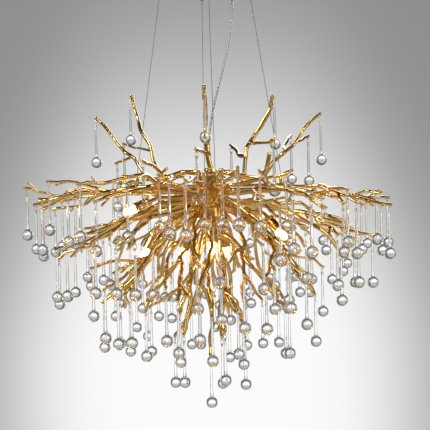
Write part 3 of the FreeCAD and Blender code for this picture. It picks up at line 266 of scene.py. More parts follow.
@dataclass(frozen=True)
class DrawnMetal:
    """A bright metal with fine marks along or across the piece."""

    name: str
    dark: tuple
    light: tuple
    polish: tuple = (0.18, 0.36)
    marks: tuple = (1, 1, 1)
    fineness: float = 400.0
    relief: float = 0.00008

    def make(self) -> bpy.types.Material:
        """The finished material."""
        paint = Paint(self.name)
        paint.set(Metallic=1.0)
        line = paint.grain(self.fineness, 3.0, self.marks)
        paint.tint(line, (0.3, self.dark), (0.7, self.light))
        paint.rough(paint.grain(60.0), *self.polish)
        paint.bump(line, self.relief, 0.6)
        return paint.material


@dataclass(frozen=True)
class StrandedWire:
    """Thin steel rope whose strands wind round it, with painted shade darkening the grooves
    between the strands.
    """

    name: str = "wire_rope"

    def make(self) -> bpy.types.Material:
        """The finished material."""
        paint = Paint(self.name)
        paint.set(Metallic=1.0)
        wave = paint.node("ShaderNodeTexWave", wave_type="BANDS", bands_direction="DIAGONAL",
                          Scale=420.0, Distortion=0.4)
        paint.links.new(paint.place, wave.inputs["Vector"])
        # The same bands set the colour and the relief, so the grooves between the strands are
        # painted darker as shade.
        paint.tint(wave.outputs["Fac"], (0.1, (0.1, 0.1, 0.1)), (0.9, (0.4, 0.4, 0.4)))
        paint.rough(paint.grain(300.0), 0.25, 0.4)
        paint.bump(wave.outputs["Fac"], 0.0002, 0.7)
        return paint.material


@dataclass(frozen=True)
class ClearSheath:
    """A see-through sheath over two tinned, twisted conductors, with painted shade in the grooves
    between them.
    """

    name: str = "cord_sheath"

    def make(self) -> bpy.types.Material:
        """The finished material."""
        paint = Paint(self.name)
        paint.set(IOR=1.45, Transmission_Weight=0.35, Coat_Weight=0.6, Coat_Roughness=0.08)
        wave = paint.node("ShaderNodeTexWave", wave_type="BANDS", bands_direction="DIAGONAL",
                          Scale=70.0, Distortion=0.8)
        paint.links.new(paint.place, wave.inputs["Vector"])
        # The light bands are the tinned conductors seen through the sheath. The same bands set the
        # relief, so the dark bands in the grooves between them are painted shade.
        paint.tint(wave.outputs["Fac"], (0.15, (0.16, 0.15, 0.15)), (0.5, (0.34, 0.33, 0.31)),
                   (0.9, (0.55, 0.53, 0.5)))
        paint.rough(paint.grain(120.0), 0.12, 0.24)
        paint.bump(wave.outputs["Fac"], 0.0003, 0.4)
        return paint.material


@dataclass(frozen=True)
class Moulded:
    """Moulded or glazed stuff of one colour, faintly mottled and pitted."""

    name: str
    dark: tuple
    light: tuple
    polish: tuple = (0.2, 0.4)
    clear: float = 0.0
    relief: float = 0.00015

    def make(self) -> bpy.types.Material:
        """The finished material."""
        paint = Paint(self.name)
        paint.set(Transmission_Weight=self.clear, IOR=1.46)
        cloud = paint.grain(75.0, 4.0)
        paint.tint(cloud, (0.3, self.dark), (0.7, self.light))
        paint.rough(paint.grain(240.0), *self.polish)
        paint.bump(paint.grain(700.0), self.relief, 0.4)
        return paint.material


class Finishes:
    """Every finish of the chandelier, made once."""

    def __init__(self) -> None:
        """Makes the materials, one for each slot and a duller gold for the canopy."""
        self.by_slot = {
            Slot.GOLD: GoldPlate().make(),
            Slot.GLASS: ClearGlass().make(),
            Slot.BULB: LitEnvelope().make(),
            Slot.LINK: DrawnMetal("link_metal", (0.62, 0.56, 0.42), (0.85, 0.8, 0.68)).make(),
            Slot.SHEATH: ClearSheath().make(),
            Slot.STEEL: StrandedWire().make(),
            Slot.NICKEL: DrawnMetal("nickel_plate", (0.55, 0.52, 0.46), (0.78, 0.75, 0.68),
                                    marks=(1, 1, 0.05)).make(),
            Slot.ZINC: DrawnMetal("zinc_plate", (0.42, 0.45, 0.48), (0.66, 0.69, 0.7),
                                  polish=(0.35, 0.55), marks=(1, 0.08, 1)).make(),
            Slot.CERAMIC: Moulded("glazed_ceramic", (0.74, 0.72, 0.66), (0.9, 0.88, 0.83),
                                  polish=(0.12, 0.25)).make(),
            Slot.PLASTIC: Moulded("milky_plastic", (0.6, 0.6, 0.58), (0.8, 0.8, 0.78),
                                  clear=0.3).make(),
            Slot.BRASS: DrawnMetal("screw_brass", (0.5, 0.36, 0.12), (0.8, 0.62, 0.28)).make(),
        }
        self.satin = GoldPlate(polish=(0.2, 0.34), ripple=0.0002, name="spun_gold").make()

    def of(self, slot: Slot) -> bpy.types.Material:
        """The material of a slot."""
        return self.by_slot[slot]


# ---- meshes


class Form:
    """A mesh under construction, with one or more finishes."""

    def __init__(self, name: str) -> None:
        """Starts an empty mesh.

        Args:
            name: The piece's name.
        """
        self.name = name
        self.bm = bmesh.new()

    def lathe(self, profile: list, place: Matrix, around: int = 32, finish: int = 0) -> None:
        """Turns a profile about the local Z axis.

        Args:
            profile: Radius and height pairs, from the bottom up.
            place: Where the turned piece stands.
            around: How many faces go round it.
            finish: The index of its finish.
        """
        rings = []
        for radius, height in profile:
            if radius <= 0.0:
                rings.append([self.bm.verts.new(place @ Vector((0, 0, height)))])
                continue
            ring = []
            for step in range(around):
                turn = math.tau * step / around
                spot = Vector((radius * math.cos(turn), radius * math.sin(turn), height))
                ring.append(self.bm.verts.new(place @ spot))
            rings.append(ring)
        for low, high in zip(rings, rings[1:]):
            for step in range(around):
                after = (step + 1) % around
                if len(low) == 1 and len(high) == 1:
                    continue
                if len(low) == 1:
                    corners = (low[0], high[after], high[step])
                elif len(high) == 1:
                    corners = (low[step], low[after], high[0])
                else:
                    corners = (low[step], low[after], high[after], high[step])
                self.bm.faces.new(corners).material_index = finish

    def object(self, materials: list, crease: float = 35.0) -> bpy.types.Object:
        """The finished object, shaded smooth but for its creases.

        Args:
            materials: The finishes, by index.
            crease: The angle above which an edge stays sharp, in degrees.

        Returns:
            The new object, linked to the scene.
        """
        bmesh.ops.recalc_face_normals(self.bm, faces=self.bm.faces)
        mesh = bpy.data.meshes.new(self.name)
        self.bm.to_mesh(mesh)
        self.bm.free()
        return placed(self.name, mesh, materials, crease)


def placed(name: str, mesh: bpy.types.Mesh, materials: list,
           crease: float = 35.0) -> bpy.types.Object:
    """Links a mesh to the scene as an object.

    Args:
        name: The object's name.
        mesh: Its mesh.
        materials: The finishes, by index.
        crease: The angle above which an edge stays sharp, in degrees.

    Returns:
        The new object.
    """
    mesh.materials.clear()
    for material in materials:
        mesh.materials.append(material)
    for face in mesh.polygons:
        face.use_smooth = True
    mesh.set_sharp_from_angle(angle=math.radians(crease))
    piece = bpy.data.objects.new(name, mesh)
    bpy.context.scene.collection.objects.link(piece)
    return piece


def settled(piece: bpy.types.Object, body: str, slot: Slot, *nodes: str) -> None:
    """Makes a piece ride on its body, in place of its solids.

    Args:
        piece: The piece.
        body: The body it rides on.
        slot: Not used.
        nodes: The solids that it stands for.
    """
    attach(piece, body)
    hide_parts(*nodes)
    LOG.info("%s on %s", piece.name, body)


def welded(node: str) -> bmesh.types.BMesh:
    """A copy of a solid's mesh whose split corners are joined again."""
    bm = bmesh.new()
    bm.from_mesh(FRAME["nodes"][node].data)
    bmesh.ops.remove_doubles(bm, verts=bm.verts, dist=SAME_POINT)
    return bm


def islands(node: str) -> list:
    """The corner points of each separate solid in a node."""
    bm = welded(node)
    unseen = set(bm.verts)
    found = []
    while unseen:
        start = unseen.pop()
        heap = [start]
        points = []
        while heap:
            vert = heap.pop()
            points.append(vert.co[:])
            for edge in vert.link_edges:
                other = edge.other_vert(vert)
                if other in unseen:
                    unseen.remove(other)
                    heap.append(other)
        found.append(np.array(points))
    bm.free()
    found.sort(key=lambda points: tuple(np.round(points.mean(0), 5)))
    return found


def baked(piece: bpy.types.Object) -> bpy.types.Mesh:
    """The mesh of a piece with its modifiers applied."""
    graph = bpy.context.evaluated_depsgraph_get()
    return bpy.data.meshes.new_from_object(piece.evaluated_get(graph))


# ---- glass drops


@dataclass
class GlassDrops:
    """The clear drops: a ball, a small collar, a long drawn stem and a drilled nub."""

    finishes: Finishes
    ball: float = 0.0125
    length: float = 0.103
    nub: float = 0.0032
    nub_half: float = 0.0018
    nub_foot: float = -0.0052
    hole: float = 0.0015
    around: int = 28
    tops: list = field(default_factory=list)

    def profile(self) -> list:
        """The outline of one drop, whose origin is the middle of its hole."""
        centre = -(self.length - self.nub - self.ball)
        outline = [(0.0, centre - self.ball)]
        for step in range(1, 15):
            turn = math.radians(11.4 * step)
            outline.append((self.ball * math.sin(turn), centre - self.ball * math.cos(turn)))
        crown = centre + self.ball
        outline += [
            (0.0039, crown - 0.0004), (0.0036, crown + 0.0004), (0.0039, crown + 0.0012),
            (0.004, crown + 0.0018), (0.0037, crown + 0.0026), (0.0033, crown + 0.0042),
            (0.0032, crown + 0.009), (0.0031, crown + 0.02), (0.003, crown + 0.035),
            (0.0028, crown + 0.05), (0.0025, crown + 0.062), (0.0022, self.nub_foot),
            (0.0022, -0.0038), (0.0027, -0.0024), (0.0031, -0.001), (0.0032, 0.0004),
            (0.0029, 0.0017), (0.002, 0.0027), (0.001, 0.0031), (0.0, 0.0032),
        ]
        return outline

    def pattern(self) -> bpy.types.Mesh:
        """One drop's mesh, with its nub flattened and drilled."""
        body = Form("drop_body")
        body.lathe(self.profile(), Matrix.Identity(4), self.around)
        for vert in body.bm.verts:
            if vert.co.z > self.nub_foot:
                vert.co.x = max(-self.nub_half, min(self.nub_half, vert.co.x))
        whole = body.object([])
        drill = Form("drop_drill")
        turn = Matrix.Rotation(math.pi / 2, 4, "Y")
        drill.lathe([(0.0, -0.004), (self.hole, -0.004), (self.hole, 0.004), (0.0, 0.004)],
                    turn, 16)
        tool = drill.object([])
        cutter = whole.modifiers.new("hole", "BOOLEAN")
        cutter.operation = "DIFFERENCE"
        cutter.solver = "EXACT"
        cutter.object = tool
        mesh = baked(whole)
        for piece in (whole, tool):
            bpy.data.objects.remove(piece)
        return mesh

    def place_of(self, points: np.ndarray) -> Matrix:
        """Where a drop hangs, read from its solid.

        Args:
            points: The solid's corner points.

        Returns:
            The placement of the drop's hole.
        """
        low, high = points.min(0), points.max(0)
        middle = (low + high) / 2
        level = low[2] + self.length - self.nub
        nub = points[points[:, 2] > level - self.nub * 0.8][:, :2] - middle[:2]
        _, axes = np.linalg.eigh(nub.T @ nub)
        across = axes[:, 0]
        turn = Matrix.Rotation(math.atan2(across[1], across[0]), 4, "Z")
        self.tops.append(Vector((middle[0], middle[1], level)))
        return Matrix.Translation((middle[0], middle[1], level)) @ turn

    def copies(self, name: str, pattern: bpy.types.Mesh, places: list) -> bpy.types.Object:
        """Many drops as one piece.

        Args:
            name: The piece's name.
            pattern: The mesh of one drop.
            places: The placement of each.

        Returns:
            The new object.
        """
        corners = np.array([vert.co[:] for vert in pattern.vertices])
        faces = [tuple(face.vertices) for face in pattern.polygons]
        verts = []
        polygons = []
        for number, place in enumerate(places):
            spun = np.array(place.to_3x3()) @ corners.T
            verts.append(spun.T + np.array(place.translation))
            shift = number * len(corners)
            polygons += [tuple(index + shift for index in face) for face in faces]
        mesh = bpy.data.meshes.new(name)
        mesh.from_pydata(np.concatenate(verts).tolist(), [], polygons)
        return placed(name, mesh, [self.finishes.of(Slot.GLASS)], 50.0)

    def build(self) -> None:
        """Hangs every drop, the swinging ones as pieces of their own."""
        pattern = self.pattern()
        for tier in Tier:
            node = tier.value + "_drops"
            if node in FRAME["nodes"]:
                places = [self.place_of(points) for points in islands(node)]
                drops = self.copies("glass_" + node, pattern, places)
                settled(drops, FIXED, Slot.GLASS, node)
        for node in sorted(name for name in FRAME["nodes"] if name.startswith("drop_")):
            places = [self.place_of(points) for points in islands(node)]
            drop = self.copies("glass_" + node, pattern, places)
            settled(drop, node + "_body", Slot.GLASS, node)


# ---- branches


@dataclass
class Branches:
    """The gold rods: rounded at every fork, thicker near the hub and bent by hand."""

    finishes: Finishes
    drop_tops: list
    voxel: float = 0.0012
    rounds: int = 12
    evenings: int = 6
    step: float = 0.005
    thin: float = 0.002
    cell: float = 0.003
    held: float = 0.005
    regain: float = 0.0008
    seed: int = 11
    waves: tuple = (0.075, 0.1, 0.15)
    sway: float = 0.005
    near: float = 0.007
    far: float = 0.026
    swell: float = 0.0017
    swell_from: float = 0.05
    swell_to: float = 0.27
    swell_room: tuple = (0.002, 0.006)
    drop_marks: int = 20
    still_nodes: tuple = ("lamp_arms", "lamp_sleeves", "hub_body", "hub_cover",
                          "carrier_arms", "wire_anchors", "wire_links", "suspension_wires",
                          "power_cord")

    def points_on(self, nodes: tuple, drops: bool) -> KDTree:
        """Points along the edges of some nodes, thinned out, ready to be searched.

        Args:
            nodes: The nodes' names.
            drops: Whether the axes of the glass drops are added.

        Returns:
            The search tree.
        """
        spots = []
        for node in nodes:
            bm = welded(node)
            bm.verts.index_update()
            corners = np.array([vert.co for vert in bm.verts])
            edges = np.array([[vert.index for vert in edge.verts] for edge in bm.edges])
            bm.free()
            starts, ends = corners[edges[:, 0]], corners[edges[:, 1]]
            longest = np.linalg.norm(ends - starts, axis=1).max()
            for share in np.linspace(0, 1, 2 + int(longest / self.step)):
                spots.append(starts + (ends - starts) * share)
        for top in self.drop_tops if drops else ():
            spots.append(np.array([top - UP * (self.step * count) for count in
                                   range(self.drop_marks)]))
        spots = np.concatenate(spots)
        points = spots[self.first_in_cells(spots, self.thin)[0]]
        tree = KDTree(len(points))
        for index, point in enumerate(points.tolist()):
            tree.insert(point, index)
        tree.balance()
        return tree

    def first_in_cells(self, places: np.ndarray, cell: float) -> tuple:
        """Picks one point from each small cell of space.

        Args:
            places: Points, one a row.
            cell: The cells' size.

        Returns:
            The picked points' numbers, and for each point that of its cell.
        """
        cells = np.round(places / cell).astype(np.int64)
        keys = (cells[:, 0] * 4096 + cells[:, 1]) * 4096 + cells[:, 2]
        _, first, where = np.unique(keys, return_index=True, return_inverse=True)
        return first, where.ravel()

    def distances(self, tree: KDTree, places: np.ndarray, chosen: np.ndarray) -> np.ndarray:
        """How far each place is from a tree's nearest point, found once a small cell.

        Args:
            tree: The search tree.
            places: Points, one a row.
            chosen: Whether each point is asked for; the others get a large distance.

        Returns:
            The distances.
        """
        far = np.full(len(places), 1.0)
        first, where = self.first_in_cells(places[chosen], self.cell)
        spots = places[chosen][first].tolist()
        far[chosen] = np.array([tree.find(spot)[2] for spot in spots])[where]
        return far

    def sway_at(self, places: np.ndarray) -> np.ndarray:
        """A smooth random shift for each place, made of a few slanting waves.

        Args:
            places: Points, one a row.

        Returns:
            A shift of about unit length for each point.
        """
        random = np.random.default_rng(self.seed)
        shift = np.zeros_like(places)
        for length in self.waves:
            for axis in range(3):
                slant = random.normal(size=3)
                slant *= 2 * math.pi / (length * np.linalg.norm(slant))
                shift[:, axis] += np.sin(places @ slant + random.uniform(0, 2 * math.pi))
        return shift / math.sqrt(len(self.waves))

    def bent(self, mesh: bpy.types.Mesh, still: KDTree, eyes: KDTree) -> None:
        """Rounds a mesh's rods, moves them by a smooth sway and swells them near the hub.

        Args:
            mesh: The mesh of a tier's rods.
            still: Points that the rods keep clear of.
            eyes: Points at the small eyes, whose shape is kept.
        """
        count = len(mesh.vertices)
        places = np.empty(count * 3, np.float32)
        mesh.vertices.foreach_get("co", places)
        places = places.reshape(-1, 3)
        ends = np.empty(len(mesh.edges) * 2, np.int32)
        mesh.edges.foreach_get("vertices", ends)
        starts = np.concatenate((ends[0::2], ends[1::2]))
        others = np.concatenate((ends[1::2], ends[0::2]))
        degree = np.bincount(starts, minlength=count)

        def evened(values: np.ndarray) -> np.ndarray:
            """The mean of each point's neighbours."""
            return np.bincount(starts, values[others], count) / degree

        rooms = self.distances(still, places, np.full(count, True))
        from_eyes = self.distances(eyes, places, rooms < 2 * self.held + self.cell)
        from_eyes = np.minimum(from_eyes, 2 * self.held)
        for _ in range(self.evenings):
            rooms, from_eyes = evened(rooms), evened(from_eyes)
        loose = np.clip(from_eyes / self.held - 1, 0, 1)[:, None]
        rounded = places.astype(np.float64)
        for _ in range(self.rounds):
            around = np.stack([evened(rounded[:, axis]) for axis in range(3)], 1)
            rounded += 0.5 * loose * (around - rounded)
        mesh.vertices.foreach_set("co", rounded.astype(np.float32).ravel())
        mesh.update()
        normals = np.empty(count * 3, np.float32)
        mesh.vertices.foreach_get("normal", normals)
        normals = normals.reshape(-1, 3)
        free = np.clip((rooms - self.near) / (self.far - self.near), 0, 1)
        free = free * free * (3 - 2 * free)
        reach = np.hypot(places[:, 0], places[:, 1])
        inner = np.clip((self.swell_to - reach) / (self.swell_to - self.swell_from), 0, 1)
        least, more = self.swell_room
        room = np.clip((rooms - least) / more, 0, 1)
        thick = self.swell * inner * room + self.regain * loose[:, 0]
        moved = rounded + self.sway_at(places) * (free * self.sway)[:, None]
        moved += normals * thick[:, None]
        mesh.vertices.foreach_set("co", moved.astype(np.float32).ravel())
        mesh.update()

    def build(self) -> None:
        """Makes each tier's rods from its solids."""
        still = self.points_on(self.still_nodes, True)
        eyes = self.points_on(("wire_links",), False)
        for tier in Tier:
            node = tier.value + "_branches"
            bm = welded(node)
            raw = bpy.data.meshes.new(node + "_raw")
            bm.to_mesh(raw)
            bm.free()
            blank = bpy.data.objects.new(node + "_blank", raw)
            bpy.context.scene.collection.objects.link(blank)
            remesh = blank.modifiers.new("even", "REMESH")
            remesh.mode = "VOXEL"
            remesh.voxel_size = self.voxel
            smooth = blank.modifiers.new("round", "SMOOTH")
            smooth.iterations = 2
            mesh = baked(blank)
            bpy.data.objects.remove(blank)
            self.bent(mesh, still, eyes)
            mesh.name = "gold_" + node
            piece = placed("gold_" + node, mesh, [self.finishes.of(Slot.GOLD)], 75.0)
            settled(piece, FIXED, Slot.GOLD, node)


# ---- lamps


@dataclass
class Lamps:
    """Nine lamps: a gold sleeve, a ceramic holder and a lit capsule bulb each."""

    finishes: Finishes
    sleeve: float = 0.0125
    wall: float = 0.0014
    length: float = 0.034
    seat: float = 0.0167
    base: float = 0.009
    capsule: float = 0.036
    envelope: float = 0.0082

    def axes(self) -> list:
        """Each bulb's node, body and placement on its sleeve's back."""
        found = []
        for joint in FRAME["joints"]:
            if not joint["child"].startswith("bulb_"):
                continue
            node = joint["child"].removesuffix("_body")
            axis = Vector(joint["axis"]).normalized()
            points = islands(node)[0]
            along = points @ np.array(axis)
            dome = float(along.max())
            ring = points[along > dome - self.capsule]
            middle = Vector((ring.min(0) + ring.max(0)) / 2)
            start = axis * (dome - self.capsule - self.base - self.seat)
            back = middle - axis * middle.dot(axis) + start
            turn = UP.rotation_difference(axis).to_matrix().to_4x4()
            found.append((node, joint["child"], Matrix.Translation(back) @ turn))
        return found

    def sleeve_profile(self) -> list:
        """The sleeve's outline: a collar at its back, a bead at its mouth, and its inside."""
        outer, inner, end = self.sleeve, self.sleeve - self.wall, self.length
        return [
            (0.0, -0.003), (0.0058, -0.003), (0.0064, -0.0024), (0.0064, 0.0), (0.0108, 0.0),
            (0.0119, 0.0005), (outer, 0.0016), (outer, 0.006), (outer - 0.0004, 0.0066),
            (outer, 0.0072), (outer, end - 0.003), (outer + 0.0003, end - 0.0024),
            (outer + 0.0005, end - 0.0013), (outer + 0.0003, end - 0.0003), (outer - 0.0003, end),
            (inner + 0.0001, end - 0.0003), (inner, end - 0.001), (inner, self.wall),
            (0.0, self.wall),
        ]

    def bulb(self, name: str, place: Matrix) -> bpy.types.Object:
        """One bulb: pins, a pinched base and the lit capsule.

        Args:
            name: The piece's name.
            place: The placement of its sleeve's back.

        Returns:
            The new object.
        """
        form = Form(name)
        start = self.seat
        body = self.envelope
        foot = start + self.base
        form.lathe([(0.0, start), (0.0069, start), (0.0075, start + 0.0006),
                    (0.0075, foot - 0.0024), (0.0066, foot - 0.0016), (0.0066, foot - 0.0006),
                    (0.0, foot - 0.0006)], place, 28, 1)
        profile = [(0.0, foot - 0.0004), (0.0062, foot - 0.0004), (0.0074, foot + 0.0008),
                   (0.008, foot + 0.0026), (body, foot + 0.006)]
        top = start + self.base + self.capsule
        profile.append((body, top - body - 0.004))
        for step in range(8):
            turn = math.radians(12 * step)
            profile.append((body * math.cos(turn),
                            top - body + (body - 0.0008) * math.sin(turn)))
        profile += [(0.0011, top - 0.0006), (0.0008, top - 0.0001), (0.0, top)]
        form.lathe(profile, place, 28, 0)
        for side in (-1, 1):
            pin = place @ Matrix.Translation((side * 0.0045, 0, 0))
            form.lathe([(0.0, start - 0.005), (0.0004, start - 0.005),
                        (0.00055, start - 0.0046), (0.00055, start + 0.0002),
                        (0.0, start + 0.0002)], pin, 10, 2)
        return form.object([self.finishes.of(Slot.BULB), self.finishes.of(Slot.CERAMIC),
                            self.finishes.of(Slot.NICKEL)])

    def build(self) -> None:
        """Makes the sleeves, the holders and the bulbs."""
        sleeves = Form("gold_sleeves")
        holders = Form("ceramic_holders")
        low = self.wall
        for node, body, place in self.axes():
            sleeves.lathe(self.sleeve_profile(), place, 40)
            holders.lathe([
                (0.0, low), (0.009, low), (0.0095, low + 0.0006), (0.0095, low + 0.012),
                (0.0091, low + 0.0124), (0.0091, low + 0.0136), (0.0095, low + 0.014),
                (0.0095, low + 0.0194), (0.0091, low + 0.02), (0.0082, low + 0.02),
                (0.0079, low + 0.0197), (0.0079, low + 0.015), (0.0, low + 0.015),
            ], place, 36)
            settled(self.bulb("lit_" + node, place), body, Slot.BULB, node)
        settled(sleeves.object([self.finishes.of(Slot.GOLD)]), FIXED, Slot.GOLD,
                "lamp_sleeves")
        settled(holders.object([self.finishes.of(Slot.CERAMIC)]), FIXED, Slot.CERAMIC,
                "lamp_holders")


# ---- ceiling end, wires and cord


@dataclass
class Ceiling:
    """Canopy, wire grippers with their plungers, and glands."""

    finishes: Finishes
    canopy: float = 0.13
    drop: float = 0.03
    wall: float = 0.0012
    round_corner: float = 0.005

    def canopy_profile(self) -> list:
        """The spun cup's outline, from its middle out and round to its inside."""
        outer, low = self.canopy, -self.drop
        corner = [(outer - self.round_corner + self.round_corner * math.sin(turn),
                   low + self.round_corner - self.round_corner * math.cos(turn))
                  for turn in (math.radians(15 * step) for step in range(7))]
        inside = [(radius - self.wall, height + self.wall * 0.8)
                  for radius, height in reversed(corner)]
        return ([(0.0, low), (0.05, low), (outer - 0.02, low)] + corner
                + [(outer, -0.003), (outer + 0.0004, -0.0024), (outer + 0.0006, -0.0012),
                   (outer + 0.0004, 0.0), (outer - self.wall, 0.0)]
                + inside + [(0.0, low + self.wall)])

    def gripper_profile(self, low: float) -> list:
        """A gripper's outline with its knurled band and chamfers.

        Args:
            low: The level of its lower end.

        Returns:
            Radius and height pairs.
        """
        top = -self.drop
        outline = [(0.0042, low + 0.008), (0.0042, low + 0.0002), (0.0048, low),
                   (0.0055, low + 0.0004), (0.006, low + 0.0012), (0.006, low + 0.006)]
        for step in range(6):
            level = low + 0.0066 + 0.0011 * step
            outline += [(0.0057, level), (0.006, level + 0.0005)]
        outline += [(0.006, top - 0.0016), (0.0066, top - 0.0012), (0.0074, top - 0.0006),
                    (0.0074, top), (0.0, top)]
        return outline

    def build(self) -> None:
        """Makes the turned pieces of the ceiling end."""
        cup = Form("gold_canopy")
        cup.lathe(self.canopy_profile(), Matrix.Identity(4), 128)
        settled(cup.object([self.finishes.satin], 40.0), FIXED, Slot.GOLD, "canopy_cover")
        bodies = Form("nickel_grippers")
        for points in islands("gripper_bodies"):
            middle = (points.min(0) + points.max(0)) / 2
            spot = Matrix.Translation((middle[0], middle[1], 0))
            bodies.lathe(self.gripper_profile(float(points[:, 2].min())), spot, 36)
        settled(bodies.object([self.finishes.of(Slot.NICKEL)]), FIXED, Slot.NICKEL,
                "gripper_bodies")
        for number in range(1, 5):
            node = f"gripper_plunger_{number}"
            low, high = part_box(node)
            spot = Matrix.Translation(((low.x + high.x) / 2, (low.y + high.y) / 2, low.z))
            tall = high.z - low.z
            form = Form(f"nickel_plunger_{number}")
            form.lathe([(0.0022, tall), (0.0022, 0.0008), (0.0026, 0.0), (0.0044, 0.0),
                        (0.0048, 0.0004), (0.0048, 0.0011), (0.0044, 0.0015), (0.0037, 0.0016),
                        (0.0037, tall - 0.0004), (0.0034, tall), (0.0022, tall)], spot, 32)
            settled(form.object([self.finishes.of(Slot.NICKEL)]), node + "_body", Slot.NICKEL,
                    node)
        self.gland("clear_gland_above", "canopy_gland", -1)
        self.gland("clear_gland_below", "hub_gland", 1)

    def gland(self, name: str, node: str, side: int) -> None:
        """A tapered gland that grips the cord.

        Args:
            name: The piece's name.
            node: The solid that it stands for.
            side: 1 if the cord comes from above it, -1 if from below.
        """
        low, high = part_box(node)
        seat, nose = (low.z, high.z) if side > 0 else (high.z, low.z)
        tall = abs(nose - seat)
        thread = tall - 0.012
        outline = [(0.0027, 0.0), (0.0055, 0.0), (0.0055, thread - 0.0004)]
        outline += [(0.0078, thread), (0.008, thread + 0.0006), (0.008, thread + 0.003)]
        for step in range(4):
            level = thread + 0.0036 + 0.0012 * step
            outline += [(0.0074 - 0.0004 * step, level), (0.0077 - 0.0004 * step, level + 0.0006)]
        outline += [(0.0052, tall - 0.0026), (0.0042, tall - 0.001), (0.0034, tall),
                    (0.0027, tall), (0.0027, 0.0)]
        flip = Matrix.Scale(side, 4, UP)
        middle = ((low.x + high.x) / 2, (low.y + high.y) / 2, seat)
        form = Form(name)
        form.lathe(outline, Matrix.Translation(middle) @ flip, 32)
        settled(form.object([self.finishes.of(Slot.PLASTIC)]), FIXED, Slot.PLASTIC, node)


@dataclass
class Lines:
    """The four thin wires, and the power cord that hangs between its glands."""

    finishes: Finishes
    wire: float = 0.0014
    cord: float = 0.005
    cord_length: float = 0.43
    route: tuple = (
        (0.061, 0.0, -0.042), (0.0605, -0.001, -0.086), (0.057, -0.003, -0.136),
        (0.05, -0.004, -0.186), (0.038, -0.003, -0.236), (0.023, 0.0, -0.286),
        (0.01, 0.002, -0.336), (0.002, 0.001, -0.386), (-0.0005, 0.0, -0.43),
        (0.0, 0.0, -0.466),
    )

    def line(self, name: str, points: list, thickness: float, slot: Slot) -> bpy.types.Object:
        """A smooth round line through space.

        Args:
            name: The piece's name.
            points: Its control points.
            thickness: Its diameter.
            slot: The slot of its finish.

        Returns:
            The new object.
        """
        curve = bpy.data.curves.new(name, "CURVE")
        curve.dimensions = "3D"
        curve.bevel_depth = thickness / 2
        curve.bevel_resolution = 4
        curve.resolution_u = 16
        curve.use_fill_caps = True
        spline = curve.splines.new("NURBS")
        spline.points.add(len(points) - 1)
        for control, point in zip(spline.points, points):
            control.co = (*point, 1.0)
        spline.order_u = 3
        spline.use_endpoint_u = True
        curve.materials.append(self.finishes.of(slot))
        piece = bpy.data.objects.new(name, curve)
        bpy.context.scene.collection.objects.link(piece)
        return piece

    def build(self) -> None:
        """Hangs the wires and the cord."""
        cord = self.line("power_cord_line", list(self.route), self.cord, Slot.SHEATH)
        settled(cord, FIXED, Slot.SHEATH, "power_cord")
        for number, points in enumerate(islands("suspension_wires"), start=1):
            low = points[points[:, 2] < points[:, 2].min() + 0.002]
            high = points[points[:, 2] > points[:, 2].max() - 0.002]
            foot = Vector((low.min(0) + low.max(0)) / 2)
            head = Vector((high.min(0) + high.max(0)) / 2)
            ends = [head.lerp(foot, share) for share in (0.0, 0.5, 1.0)]
            line = self.line(f"steel_wire_{number}", ends, self.wire, Slot.STEEL)
            settled(line, FIXED, Slot.STEEL, "suspension_wires")


@dataclass
class Dressing:
    """Finishes and softened edges for the solids whose shape stays."""

    finishes: Finishes
    edge: float = 0.0004
    kept: tuple = (
        ("lamp_arms", Slot.GOLD, False), ("hub_body", Slot.GOLD, False),
        ("hub_cover", Slot.GOLD, False), ("carrier_arms", Slot.GOLD, True),
        ("wire_anchors", Slot.GOLD, True), ("cap_nuts", Slot.GOLD, False),
        ("anchor_screws", Slot.NICKEL, True), ("bracket_studs", Slot.NICKEL, True),
        ("gripper_nuts", Slot.NICKEL, True), ("mounting_bracket", Slot.ZINC, True),
        ("hub_connector", Slot.CERAMIC, True), ("gland_nuts", Slot.PLASTIC, True),
        ("terminal_block", Slot.CERAMIC, True), ("terminal_screws", Slot.BRASS, True),
        ("wire_links", Slot.LINK, False),
    )

    def build(self) -> None:
        """Gives each kept solid its finish, and bevels its sharp edges."""
        for node, slot, bevelled in self.kept:
            solid = FRAME["nodes"][node]
            for index in range(max(1, len(solid.data.materials))):
                if index < len(solid.data.materials):
                    solid.data.materials[index] = self.finishes.of(slot)
                else:
                    solid.data.materials.append(self.finishes.of(slot))
            if bevelled:
                weld = solid.modifiers.new("joined", "WELD")
                weld.merge_threshold = SAME_POINT
                bevel = solid.modifiers.new("edges", "BEVEL")
                bevel.width = self.edge
                bevel.segments = 2
                bevel.limit_method = "ANGLE"
                bevel.angle_limit = math.radians(50)
            LOG.info("%s dressed", node)


# ---- studio


